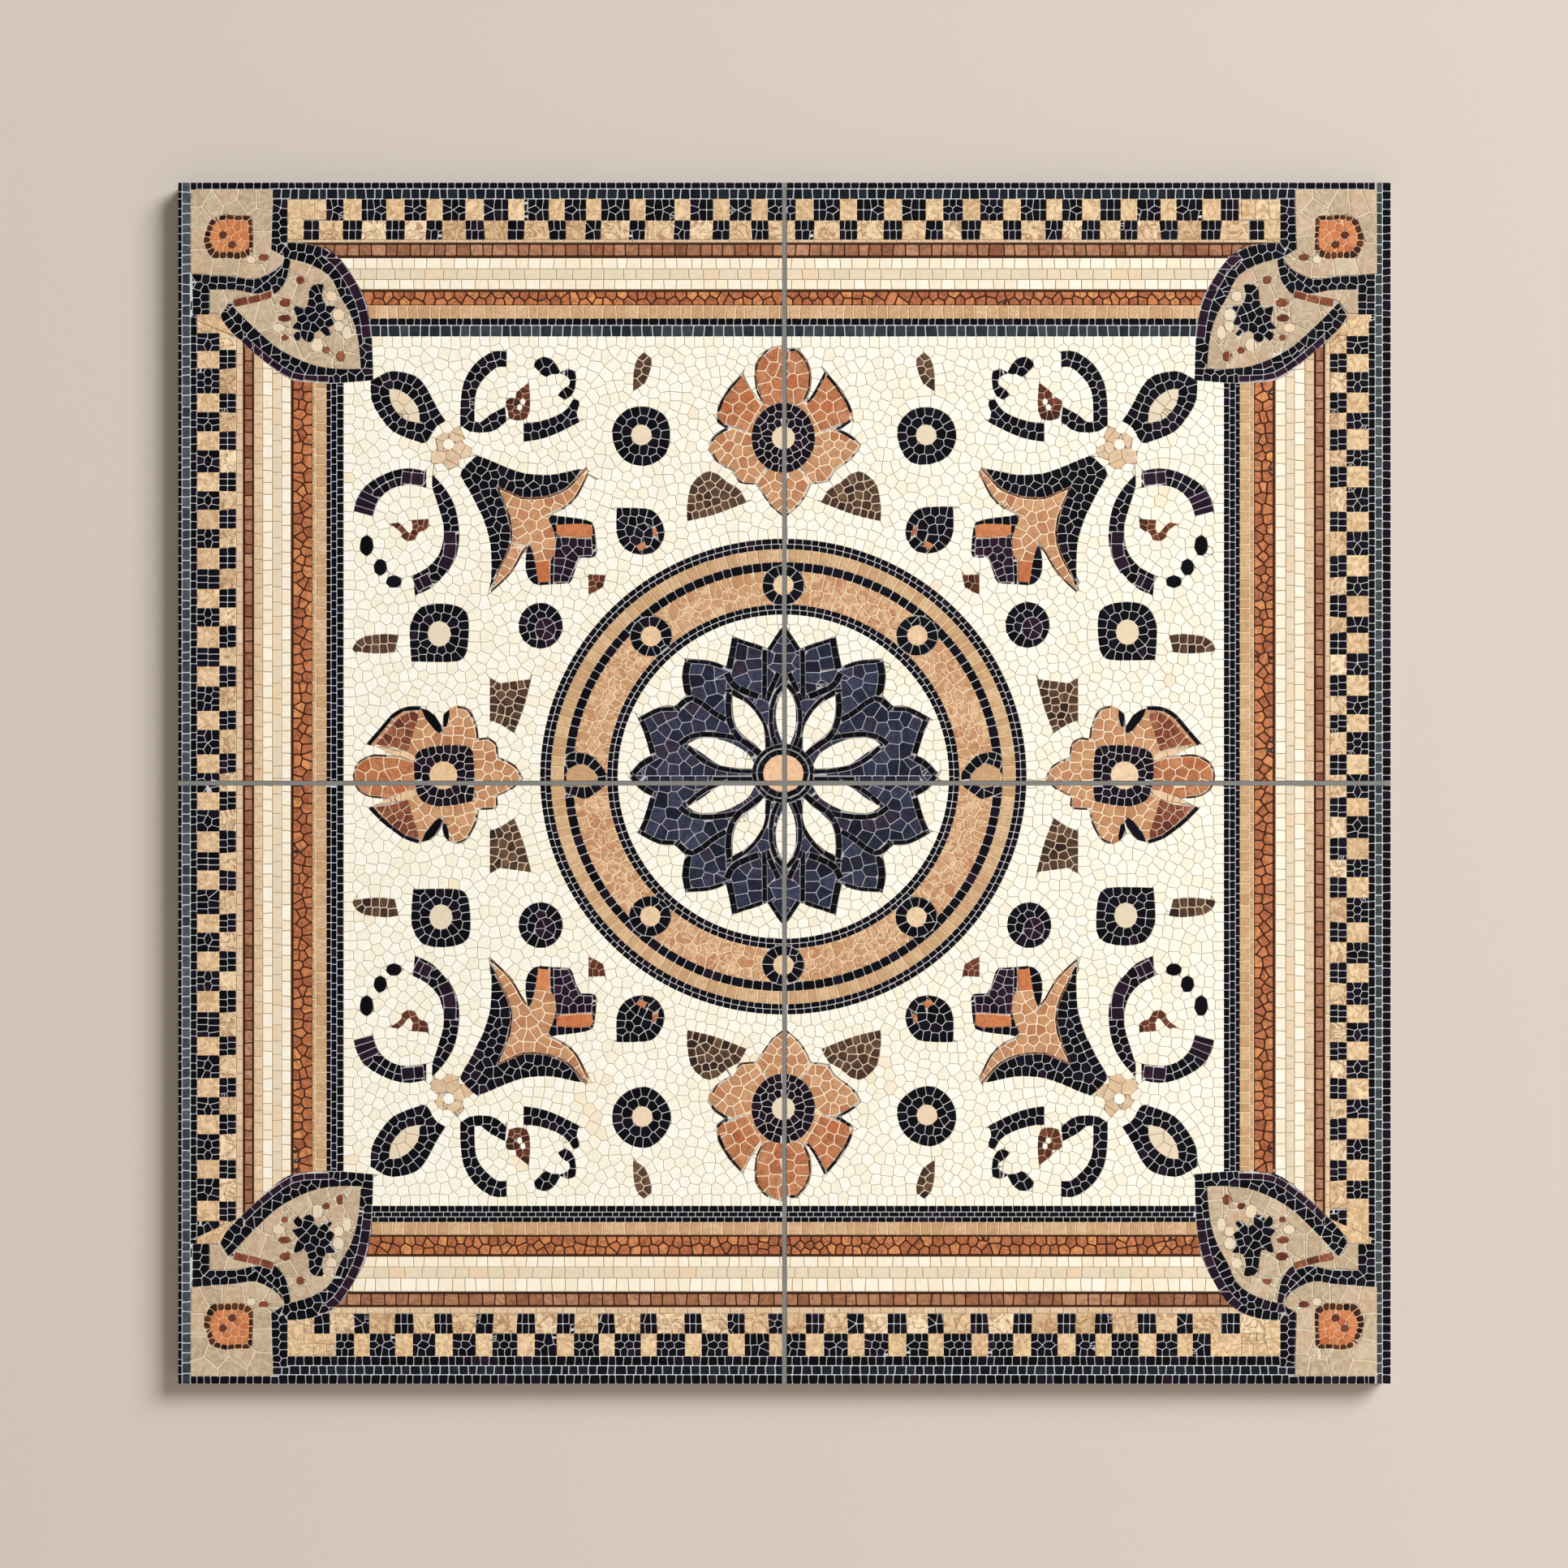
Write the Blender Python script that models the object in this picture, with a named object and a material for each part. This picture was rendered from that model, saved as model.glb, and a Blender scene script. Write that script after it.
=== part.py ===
"""A mosaic wall panel made of four stone-faced boards that hang edge to edge.

Metres, +Z up. The face looks along -Y and the backs lie in the plane y = 0, against the wall.
The origin is the middle of the back, where the four boards meet.
Each board carries a bed of grout, and the stones stand on the bed. The stones of one colour field are
fused into one solid, with a grout joint between fields.
"""

import math

import bmesh
import bpy
from mathutils import Matrix

# Boards and layers, from the wall forwards
BOARD_WIDTH = 0.5976
BOARD_HEIGHT = 0.592
BOARD_DEPTH = 0.012
BED_DEPTH = 0.0024
STONE_DEPTH = 0.007
SEAT = 0.0003

# The grey strip that fills the cross between the boards
GAP_WIDTH = 0.0048
STRIP_CLEARANCE = 0.0003
STRIP_RECESS = 0.0006

# Grout joint between two fields of stone, and how far a bed stops inside its board's edge
STONE_JOINT = 0.001
BED_INSET = 0.0004

# The border, from the edge inwards: name, width at the two sides, at the top and at the bottom
BORDER = (
    ("outer_border", 0.0205, 0.0173, 0.0289),
    ("checker_band", 0.0447, 0.0433, 0.0473),
    ("stripes", 0.0995, 0.0919, 0.1003),
)

# Corner ornament: its reach from the outer corner inwards along X, and along Z at the top and the bottom
ORNAMENT_REACH = 0.193
ORNAMENT_DROP_TOP = 0.1954
ORNAMENT_DROP_BOTTOM = 0.207

# Shares of that reach and drop, measured from the outer corner. The square runs on under the leaf's cut.
LEAF_TIP = (1.0, 1.0)
SQUARE_SHARES = (
    (0.073, 0.039),
    (0.556, 0.039),
    (0.562, 0.310),
    (0.640, 0.420),
    (0.520, 0.650),
    (0.273, 0.652),
    (0.219, 0.607),
    (0.148, 0.566),
    (0.073, 0.562),
)
LEAF_SHARES = (
    (0.567, 0.306),
    (0.690, 0.325),
    (0.800, 0.375),
    (0.870, 0.440),
    (0.925, 0.525),
    (0.962, 0.635),
    (0.985, 0.780),
    LEAF_TIP,
    (0.860, 1.004),
    (0.720, 1.004),
    (0.600, 0.985),
    (0.490, 0.930),
    (0.380, 0.840),
    (0.285, 0.740),
    (0.222, 0.660),
    (0.250, 0.615),
    (0.400, 0.585),
    (0.500, 0.560),
    (0.560, 0.480),
)

# Medallion, from the middle outwards: rosette, a margin of light ground, the ring
MEDALLION_HEIGHT = 0.0072
ROSETTE_RADIUS = 0.1525
PETAL_REACH = 0.0315
GROUND_MARGIN = 0.0085
RING_WIDTH = 0.0775
PETALS = 16
CIRCLE_POINTS = 64

# How far a cutter runs past what it cuts
CUT_PAST = 0.01

PANEL_WIDTH = 2 * BOARD_WIDTH + GAP_WIDTH
PANEL_HEIGHT = 2 * BOARD_HEIGHT + GAP_WIDTH
BED_BACK = BOARD_DEPTH + SEAT
STONE_BACK = BED_BACK + BED_DEPTH + SEAT
FACE = STONE_BACK + STONE_DEPTH
RING_INNER_RADIUS = ROSETTE_RADIUS + GROUND_MARGIN
MEDALLION_RADIUS = RING_INNER_RADIUS + RING_WIDTH

COLOURS = {
    "backing_board": (0.46, 0.45, 0.43),
    "grout_bed": (0.62, 0.59, 0.53),
    "outer_border": (0.035, 0.040, 0.062),
    "checker_band": (0.72, 0.54, 0.34),
    "stripes": (0.42, 0.15, 0.055),
    "corner_square": (0.48, 0.39, 0.27),
    "corner_leaf": (0.45, 0.37, 0.26),
    "field": (0.90, 0.84, 0.70),
    "medallion_ring": (0.60, 0.33, 0.17),
    "medallion_ground": (0.90, 0.84, 0.70),
    "rosette": (0.045, 0.050, 0.110),
    "joint_strip": (0.22, 0.22, 0.21),
}
ROUGHNESS = {"backing_board": 0.9, "grout_bed": 0.9, "joint_strip": 0.7}
STONE_ROUGHNESS = 0.5


def clear_scene():
    for item in list(bpy.data.objects):
        bpy.data.objects.remove(item)


def new_collection(name):
    collection = bpy.data.collections.new(name)
    bpy.context.scene.collection.children.link(collection)
    return collection


def material(name):
    made = bpy.data.materials.get(name) or bpy.data.materials.new(name)
    made.use_nodes = True
    shader = made.node_tree.nodes["Principled BSDF"]
    shader.inputs["Base Color"].default_value = (*COLOURS[name], 1.0)
    shader.inputs["Roughness"].default_value = ROUGHNESS.get(name, STONE_ROUGHNESS)
    shader.inputs["Metallic"].default_value = 0.0
    return made


def rectangle(left, bottom, right, top):
    return [(left, bottom), (right, bottom), (right, top), (left, top)]


def circle(radius, height):
    turns = [2 * math.pi * k / CIRCLE_POINTS for k in range(CIRCLE_POINTS)]
    return [(radius * math.cos(t), height + radius * math.sin(t)) for t in turns]


def rosette_outline():
    """Sixteen pointed petals: a valley, a shoulder, the tip and a shoulder again."""
    points = []
    step = 2 * math.pi / PETALS
    for petal in range(PETALS):
        for turn, back in ((-0.5, 1.0), (-0.3, 0.6), (0.0, 0.0), (0.3, 0.6)):
            angle = step * (petal + turn)
            radius = ROSETTE_RADIUS - back * PETAL_REACH
            points.append((radius * math.cos(angle), MEDALLION_HEIGHT + radius * math.sin(angle)))
    return points


def grown(outline, by):
    """The outline moved outwards by a distance, each corner along the mitre of its two edges."""
    area = sum(a[0] * b[1] - b[0] * a[1] for a, b in zip(outline, outline[1:] + outline[:1])) / 2
    side = 1 if area > 0 else -1
    moved = []
    for before, here, after in zip(outline[-1:] + outline[:-1], outline, outline[1:] + outline[:1]):
        first = (here[0] - before[0], here[1] - before[1])
        second = (after[0] - here[0], after[1] - here[1])
        length_1, length_2 = math.hypot(*first), math.hypot(*second)
        normal_1 = (side * first[1] / length_1, -side * first[0] / length_1)
        normal_2 = (side * second[1] / length_2, -side * second[0] / length_2)
        mitre = (normal_1[0] + normal_2[0], normal_1[1] + normal_2[1])
        reach = max(mitre[0] ** 2 + mitre[1] ** 2, 0.5)
        moved.append((here[0] + 2 * by * mitre[0] / reach, here[1] + 2 * by * mitre[1] / reach))
    return moved


def prism(name, outlines, back, depth, collection):
    """A flat outline, holes included, as a slab that runs from y = -back to y = -(back + depth)."""
    curve = bpy.data.curves.new(name, "CURVE")
    curve.dimensions = "2D"
    curve.fill_mode = "BOTH"
    curve.extrude = depth / 2
    for outline in outlines:
        spline = curve.splines.new("POLY")
        spline.points.add(len(outline) - 1)
        for point, (x, z) in zip(spline.points, outline):
            point.co = (x, z, 0, 1)
        spline.use_cyclic_u = True
    drawn = bpy.data.objects.new(name + "_curve", curve)
    collection.objects.link(drawn)
    upright = Matrix.Rotation(math.pi / 2, 4, "X")
    drawn.matrix_world = Matrix.Translation((0, -back - depth / 2, 0)) @ upright
    bpy.context.view_layer.update()
    evaluated = drawn.evaluated_get(bpy.context.evaluated_depsgraph_get())
    mesh = bpy.data.meshes.new_from_object(evaluated)
    mesh.transform(drawn.matrix_world)
    mesh.name = name
    bpy.data.objects.remove(drawn)
    shape = bmesh.new()
    shape.from_mesh(mesh)
    bmesh.ops.remove_doubles(shape, verts=shape.verts, dist=1e-6)
    bmesh.ops.recalc_face_normals(shape, faces=shape.faces)
    shape.to_mesh(mesh)
    shape.free()
    made = bpy.data.objects.new(name, mesh)
    collection.objects.link(made)
    return made


def cutter(name, outline, collection):
    """A solid for a Boolean, longer than the stone layer at both faces and never rendered."""
    made = prism(name, [outline], STONE_BACK - CUT_PAST, STONE_DEPTH + 2 * CUT_PAST, collection)
    made.hide_render = True
    made.display_type = "WIRE"
    return made


def boolean(item, operation, tool):
    modifier = item.modifiers.new(tool.name, "BOOLEAN")
    modifier.operation = operation
    modifier.object = tool


def border_line(depth_in):
    """The rectangle that lies a share of the border in: depth_in holds the side, top and bottom distances."""
    side, top, bottom = depth_in
    return rectangle(
        -PANEL_WIDTH / 2 + side,
        -PANEL_HEIGHT / 2 + bottom,
        PANEL_WIDTH / 2 - side,
        PANEL_HEIGHT / 2 - top,
    )


def ornament_point(share, right, top):
    """A point of the corner ornament in one of the four corners."""
    along, down = share
    drop = ORNAMENT_DROP_TOP if top > 0 else ORNAMENT_DROP_BOTTOM
    return (
        right * (PANEL_WIDTH / 2 - along * ORNAMENT_REACH),
        top * (PANEL_HEIGHT / 2 - down * drop),
    )


def border_fields():
    """Name and outlines of the outer border, the checker band and the stripes, all the way round."""
    fields = []
    reached = (0.0, 0.0, 0.0)
    half = STONE_JOINT / 2
    for name, *widths in BORDER:
        outer = [d + (half if any(reached) else 0.0) for d in reached]
        reached = tuple(d + w for d, w in zip(reached, widths))
        inner = [d - half for d in reached]
        fields.append((name, [border_line(outer), border_line(inner)]))
    return fields


def inner_fields():
    """Name and outlines of the fields of stone inside the border."""
    inside = tuple(sum(row[k] for row in BORDER) + STONE_JOINT / 2 for k in (1, 2, 3))
    ring = [circle(MEDALLION_RADIUS, MEDALLION_HEIGHT), circle(RING_INNER_RADIUS, MEDALLION_HEIGHT)]
    ground = circle(RING_INNER_RADIUS - STONE_JOINT, MEDALLION_HEIGHT)
    return [
        ("field", [border_line(inside)]),
        ("medallion_ring", ring),
        ("medallion_ground", [ground, grown(rosette_outline(), STONE_JOINT)]),
        ("rosette", [rosette_outline()]),
    ]


def board_box(right, top, inset=0.0):
    """One board's rectangle: right and top are -1 or 1."""
    near_x, near_z = GAP_WIDTH / 2 + inset, GAP_WIDTH / 2 + inset
    far_x = GAP_WIDTH / 2 + BOARD_WIDTH - inset
    far_z = GAP_WIDTH / 2 + BOARD_HEIGHT - inset
    xs = sorted((right * near_x, right * far_x))
    zs = sorted((top * near_z, top * far_z))
    return rectangle(xs[0], zs[0], xs[1], zs[1])


def finish(item, colour):
    item.data.materials.clear()
    item.data.materials.append(material(colour))
    return item


def build_board(place, right, top, parts, cutters):
    """One of the four boards with its bed and its stones."""
    box = board_box(right, top)
    finish(prism(f"backing_board_{place}", [box], 0.0, BOARD_DEPTH, parts), "backing_board")
    bed = board_box(right, top, BED_INSET)
    finish(prism(f"grout_bed_{place}", [bed], BED_BACK, BED_DEPTH, parts), "grout_bed")

    inner_x, inner_z = right * GAP_WIDTH / 2, top * GAP_WIDTH / 2
    outer_x = right * (PANEL_WIDTH / 2 + CUT_PAST)
    outer_z = top * (PANEL_HEIGHT / 2 + CUT_PAST)
    corner, heart = (outer_x, outer_z), (inner_x, inner_z)
    beside, above = (outer_x, inner_z), (inner_x, outer_z)
    tip = ornament_point(LEAF_TIP, right, top)
    quarter = cutter(f"quarter_{place}", [heart, beside, corner, above], cutters)
    upright = cutter(f"upright_half_{place}", [heart, beside, corner, tip], cutters)
    level = cutter(f"level_half_{place}", [heart, tip, corner, above], cutters)

    square = [ornament_point(p, right, top) for p in SQUARE_SHARES]
    leaf = [ornament_point(p, right, top) for p in LEAF_SHARES]
    square_cut = cutter(f"square_cut_{place}", grown(square, STONE_JOINT), cutters)
    leaf_cut = cutter(f"leaf_cut_{place}", grown(leaf, STONE_JOINT), cutters)
    medallion = grown(circle(MEDALLION_RADIUS, MEDALLION_HEIGHT), STONE_JOINT)
    medallion_cut = cutter(f"medallion_cut_{place}", medallion, cutters)

    for name, outlines in border_fields():
        runs = (("", quarter),) if name == "outer_border" else (("_upright", upright), ("_level", level))
        for run, region in runs:
            item = prism(f"{name}{run}_{place}", outlines, STONE_BACK, STONE_DEPTH, parts)
            finish(item, name)
            boolean(item, "INTERSECT", region)
            boolean(item, "DIFFERENCE", square_cut)
            boolean(item, "DIFFERENCE", leaf_cut)

    for name, outlines in inner_fields():
        item = prism(f"{name}_{place}", outlines, STONE_BACK, STONE_DEPTH, parts)
        finish(item, name)
        boolean(item, "INTERSECT", quarter)
        if name == "field":
            boolean(item, "DIFFERENCE", leaf_cut)
            boolean(item, "DIFFERENCE", medallion_cut)

    finish(prism(f"corner_leaf_{place}", [leaf], STONE_BACK, STONE_DEPTH, parts), "corner_leaf")
    item = prism(f"corner_square_{place}", [square], STONE_BACK, STONE_DEPTH, parts)
    finish(item, "corner_square")
    boolean(item, "DIFFERENCE", leaf_cut)


def build_joint_strip(parts):
    """The grey cross between the boards, from the wall to just under the face."""
    half = GAP_WIDTH / 2 - STRIP_CLEARANCE
    across, up = PANEL_WIDTH / 2, PANEL_HEIGHT / 2
    arm = [(across, -half), (across, half), (half, half), (half, up), (-half, up), (-half, half)]
    outline = arm + [(-x, -z) for x, z in arm]
    finish(prism("joint_strip", [outline], 0.0, FACE - STRIP_RECESS, parts), "joint_strip")


def main():
    clear_scene()
    parts = new_collection("mosaic_panel")
    cutters = new_collection("cutters")
    for vertical, top in (("top", 1), ("bottom", -1)):
        for sideways, right in (("left", -1), ("right", 1)):
            build_board(f"{vertical}_{sideways}", right, top, parts, cutters)
    build_joint_strip(parts)


main()
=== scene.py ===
# %% [markdown]
# # A stone mosaic wall panel
# The panel is four boards hung edge to edge, faced with about sixteen thousand hand-cut stones. The boards,
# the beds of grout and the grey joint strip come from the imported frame. This script lays the stones: it draws
# the design as fields, splits each field into stones, and turns every stone into a small bevelled block.

# %% Frame
import math
import random

import bmesh
import bpy
import numpy as np
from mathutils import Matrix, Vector, kdtree, noise


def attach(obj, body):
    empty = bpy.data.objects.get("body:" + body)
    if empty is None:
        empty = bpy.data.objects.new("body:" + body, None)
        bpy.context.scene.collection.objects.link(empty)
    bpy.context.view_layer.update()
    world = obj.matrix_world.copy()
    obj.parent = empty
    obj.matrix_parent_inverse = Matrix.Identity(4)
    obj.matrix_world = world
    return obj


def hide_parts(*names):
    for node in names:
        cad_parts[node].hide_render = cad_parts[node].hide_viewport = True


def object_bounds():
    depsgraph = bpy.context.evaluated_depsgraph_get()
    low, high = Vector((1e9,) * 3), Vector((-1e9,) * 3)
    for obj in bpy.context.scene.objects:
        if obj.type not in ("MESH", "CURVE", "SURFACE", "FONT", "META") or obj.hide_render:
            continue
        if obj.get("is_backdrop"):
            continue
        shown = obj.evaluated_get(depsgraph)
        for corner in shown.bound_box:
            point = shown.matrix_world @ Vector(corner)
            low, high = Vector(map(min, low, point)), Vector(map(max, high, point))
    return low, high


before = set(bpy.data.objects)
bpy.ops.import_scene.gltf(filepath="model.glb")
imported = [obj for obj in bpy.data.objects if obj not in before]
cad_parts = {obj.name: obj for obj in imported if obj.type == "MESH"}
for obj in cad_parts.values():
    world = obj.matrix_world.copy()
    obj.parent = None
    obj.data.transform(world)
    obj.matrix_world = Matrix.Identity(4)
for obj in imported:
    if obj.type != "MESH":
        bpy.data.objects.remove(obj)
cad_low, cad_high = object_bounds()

print("panel box", [round(v, 4) for v in (*cad_low, *cad_high)])

# %% [markdown]
# The design is drawn on a sheet, as a mosaic maker pins a drawing under the work: x to the right and y down,
# 1494 units across the panel. One unit is about 0.8 mm. Everything below is given in these units and turned
# into metres only when a stone is made. The design is nearly symmetrical, so most motifs are drawn once, in
# the top left quarter, and mirrored about the lines through the medallion.

# %% Design sheet
LEFT, RIGHT, TOP, BOTTOM = 219.5, 1713.5, 225.0, 1705.0
UNIT = 1.2 / (RIGHT - LEFT)
MIDDLE_X, MIDDLE_Y = (LEFT + RIGHT) / 2, (TOP + BOTTOM) / 2
MIRROR_X, MIRROR_Y = 965.75, 955.75
QUARTERS = ((1, 1), (-1, 1), (1, -1), (-1, -1))
FACE = -cad_low[1]
STONE_BACK = 0.015
SMOOTH_STEP = 3
rng = random.Random(7)


def mirrored(points, across, down, middle=MIRROR_Y):
    """The points in another quarter of the design. A third number on a point goes along."""
    return [(MIRROR_X + across * (p[0] - MIRROR_X), middle + down * (p[1] - middle), *p[2:]) for p in points]


def smooth(points, closed=True):
    """A smooth line through the points. A point with a third number stays a sharp corner."""
    line, count = [], len(points)
    for k in range(count if closed else count - 1):
        here, after = points[k], points[(k + 1) % count]
        before = points[k - 1] if closed or k else here
        beyond = points[(k + 2) % count] if closed or k + 2 < count else after
        steps = max(1, round(math.dist(here[:2], after[:2]) / SMOOTH_STEP))
        for s in range(steps):
            t = s / steps
            spot = []
            for axis in (0, 1):
                out = 0 if len(here) > 2 else (after[axis] - before[axis]) / 2
                into = 0 if len(after) > 2 else (beyond[axis] - here[axis]) / 2
                a = (2 * t**3 - 3 * t**2 + 1) * here[axis] + (t**3 - 2 * t**2 + t) * out
                b = (-2 * t**3 + 3 * t**2) * after[axis] + (t**3 - t**2) * into
                spot.append(a + b)
            line.append(tuple(spot))
    if not closed:
        line.append(tuple(points[-1][:2]))
    return line


def ribbon(path, width):
    """Both edges of a band that follows a path."""
    one, other = [], []
    last = len(path) - 1
    for k, (x, y) in enumerate(path):
        ahead, behind = path[min(k + 1, last)], path[max(k - 1, 0)]
        dx, dy = ahead[0] - behind[0], ahead[1] - behind[1]
        size = math.hypot(dx, dy) or 1.0
        one.append((x - dy / size * width / 2, y + dx / size * width / 2))
        other.append((x + dy / size * width / 2, y - dx / size * width / 2))
    return one + other[::-1]


def ring_line(centre, across, up=None, count=72, turn=0.0):
    """A round or oval line of points, given by its half widths."""
    up = across if up is None else up
    turns = [turn + 2 * math.pi * k / count for k in range(count)]
    return [(centre[0] + across * math.cos(t), centre[1] - up * math.sin(t)) for t in turns]


def box_line(left, top, right, bottom):
    return [(left, top), (right, top), (right, bottom), (left, bottom)]


def sides(shape):
    """The sides of a closed shape, each as its two ends."""
    return zip(shape, shape[1:] + shape[:1])


print("one unit is", round(UNIT * 1000, 4), "mm")

# %% [markdown]
# The stones are sorted into about thirty colours. For each the maker's notes hold how far apart the stones
# sit in an irregular field, how wide the joint is, and the colour of the grout: pale between dark stones,
# brown between the rust ones, cream in the light ground. A colour is a ramp, because no two stones are alike.
# The last two are thin lines of mortar alone, with no stones in them.

# %% Stone colours
# kind: (spacing, joint, grout colour, roundness, stone colours from one end of the ramp to the other)
KINDS = {
    "black": (10.8, 0.95, (214, 214, 218), 0.1, ((3, 3, 8), (8, 8, 16), (14, 14, 26), (34, 22, 36))),
    "ink": (11.0, 0.7, (132, 132, 144), 0.06, ((2, 2, 6), (6, 6, 12), (10, 10, 20), (16, 14, 28))),
    "slate": (11.0, 1.5, (206, 209, 213), 0.08, ((48, 56, 62), (66, 74, 80), (84, 90, 96), (56, 64, 70))),
    "dusk": (11.0, 1.5, (204, 207, 213), 0.08, ((12, 18, 26), (22, 30, 38), (34, 42, 50), (20, 24, 34))),
    "steel": (11.0, 1.5, (205, 208, 213), 0.08, ((32, 38, 46), (48, 56, 64), (62, 70, 76), (40, 46, 54))),
    "navy": (16.0, 1.1, (186, 186, 196), 0.08, ((26, 28, 46), (44, 48, 68), (62, 66, 90), (54, 46, 64))),
    "plum": (10.5, 1.0, (196, 188, 200), 0.1, ((26, 14, 28), (36, 20, 36), (48, 26, 44), (22, 18, 34))),
    "cream": (13.2, 0.85, (200, 197, 176), 0.06, ((252, 251, 242), (251, 248, 234), (249, 243, 225), (247, 233, 209))),
    "white": (17.0, 1.0, (190, 172, 142), 0.05, ((252, 247, 232), (249, 241, 222), (246, 236, 214), (248, 234, 210))),
    "dove": (17.0, 1.0, (196, 182, 154), 0.05, ((231, 219, 195), (227, 213, 187), (235, 220, 195), (235, 211, 179))),
    "beige": (24.0, 1.0, (206, 186, 152), 0.08, ((230, 202, 162), (224, 194, 152), (234, 208, 168), (216, 186, 146))),
    "marble": (22.0, 1.0, (206, 186, 152), 0.08, ((232, 206, 168), (222, 192, 152), (240, 218, 184), (212, 180, 140))),
    "straw": (15.0, 0.9, (190, 162, 130), 0.05, ((224, 198, 166), (216, 190, 158), (228, 204, 174), (222, 190, 154))),
    "tan": (14.0, 1.2, (240, 214, 178), 0.06, ((206, 170, 129), (198, 160, 119), (212, 178, 138), (218, 185, 147))),
    "sand": (30.0, 1.3, (234, 224, 202), 0.08, ((193, 170, 141), (183, 162, 133), (201, 180, 151), (199, 170, 141))),
    "eye": (17.0, 0.9, (204, 176, 142), 0.05, ((234, 204, 168), (228, 194, 154), (238, 212, 178), (232, 200, 160))),
    "blush": (60.0, 0.9, (204, 176, 142), 0.05, ((236, 194, 156),) * 4),
    "peach": (16.5, 1.3, (240, 218, 184), 0.1, ((200, 154, 114), (192, 142, 102), (208, 164, 124), (190, 134, 96))),
    "clay": (15.5, 1.6, (240, 216, 186), 0.1, ((194, 128, 86), (182, 114, 74), (202, 142, 102), (188, 108, 66))),
    "apricot": (13.5, 1.7, (246, 226, 198), 0.1, ((204, 154, 112), (192, 138, 98), (212, 164, 122), (184, 124, 86))),
    "orange": (10.5, 1.1, (236, 190, 148), 0.12, ((212, 136, 88), (202, 122, 76), (218, 146, 98), (190, 106, 64))),
    "rust": (12.5, 1.8, (70, 36, 20), 0.12, ((206, 132, 84), (190, 116, 74), (172, 100, 66), (220, 148, 92))),
    "brown": (11.0, 1.5, (62, 32, 20), 0.08, ((176, 126, 94), (156, 102, 72), (193, 144, 110), (142, 86, 60))),
    "coffee": (7.6, 1.0, (236, 196, 156), 0.2, ((48, 30, 26), (66, 38, 28), (98, 56, 36), (28, 20, 24))),
    "umber": (10.5, 1.4, (220, 204, 178), 0.12, ((94, 68, 54), (74, 52, 43), (116, 88, 69), (52, 37, 35))),
    "maroon": (11.0, 1.2, (226, 198, 168), 0.1, ((142, 82, 60), (124, 66, 50), (158, 98, 72), (100, 52, 44))),
    "jet": (9.8, 0.95, (218, 214, 218), 0.12, ((8, 6, 12), (16, 10, 20), (22, 14, 28), (36, 20, 34))),
    "oxblood": (8.5, 1.0, (200, 166, 138), 0.15, ((102, 56, 42), (88, 45, 34), (120, 68, 50), (62, 34, 30))),
    "seam": (60.0, 99.0, (64, 36, 22), 0.0, ((64, 36, 22),) * 4),
    "lime": (60.0, 99.0, (242, 218, 184), 0.0, ((242, 218, 184),) * 4),
}
DARK = ("black", "ink", "slate", "dusk", "steel", "navy", "plum", "umber", "oxblood", "coffee", "maroon", "jet")
GROUND = ("cream", "sand")
SPACING, JOINT, GROUT, ROUND, RAMP = range(5)
MORTAR_LINES = ("seam", "lime")
print(len(KINDS) - len(MORTAR_LINES), "stone colours")

# %% [markdown]
# Each motif is painted on a chart as a field of one colour; a later field covers an earlier one, so the
# drawing can be built up from the ground to the details. The chart only answers which field a spot lies in,
# at two squares to the unit, which is finer than any joint.

# %% Chart of fields
SHEET = 1932
FINE = 2
chart = np.zeros((SHEET * FINE, SHEET * FINE), np.int16)
fields = [None]
laid = []


def paint(board, outline, number):
    """Writes a number into every spot of the chart that lies inside an outline."""
    x0, y0 = np.array(outline).T
    x1, y1 = np.roll(x0, -1), np.roll(y0, -1)
    first, last = int(y0.min() * FINE), int(y0.max() * FINE) + 1
    for row in range(first, last + 1):
        level = (row + 0.5) / FINE
        hit = (y0 <= level) != (y1 <= level)
        if hit.any():
            at = np.sort(x0[hit] + (level - y0[hit]) * (x1 - x0)[hit] / (y1 - y0)[hit])
            for a, b in zip(at[0::2], at[1::2]):
                board[row, round(a * FINE) : round(b * FINE)] = number


def field(kind, outline, rows=False, calm=False):
    """Paints a field and gives its number. rows: its stones are laid one by one, not scattered."""
    fields.append({"kind": kind, "line": [p[:2] for p in outline], "rows": rows, "calm": calm})
    paint(chart, fields[-1]["line"], len(fields) - 1)
    return len(fields) - 1


def field_at(x, y):
    return int(chart[int(y * FINE), int(x * FINE)])


print("a chart of", chart.shape, "squares")

# %% [markdown]
# Borders, rings and thin lines are laid as rows of single stones, since their stones follow the line. Hand-cut
# stones are never quite alike, so their lengths vary by a seventh and their joints lean a little.

# %% Rows, rings and lines
ROW_UNEVEN, RING_UNEVEN, SLANT = 0.14, 0.12, 0.05
OVERLAP = 3


def lay_stone(kind, line):
    """A single stone with an outline of its own."""
    laid.append((field(kind, line, rows=True), line))


def lay_row(number, upright, low, high, start, end, length):
    """A straight row of stones between low and high, with uneven lengths and slightly slanted joints."""
    count = max(1, round((end - start) / length))
    step = (end - start) / count
    loose = [rng.uniform(-ROW_UNEVEN, ROW_UNEVEN) * (0 < k < count) for k in range(count + 1)]
    spots = [start + step * (k + loose[k]) for k in range(count + 1)]
    slants = [rng.uniform(-SLANT, SLANT) * (high - low) for _ in spots]
    for k in range(count):
        a, b, sa, sb = spots[k], spots[k + 1], slants[k], slants[k + 1]
        quad = [(a - sa, low), (b - sb, low), (b + sb, high), (a + sa, high)]
        laid.append((number, [(y, x) for x, y in quad] if upright else quad))


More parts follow.
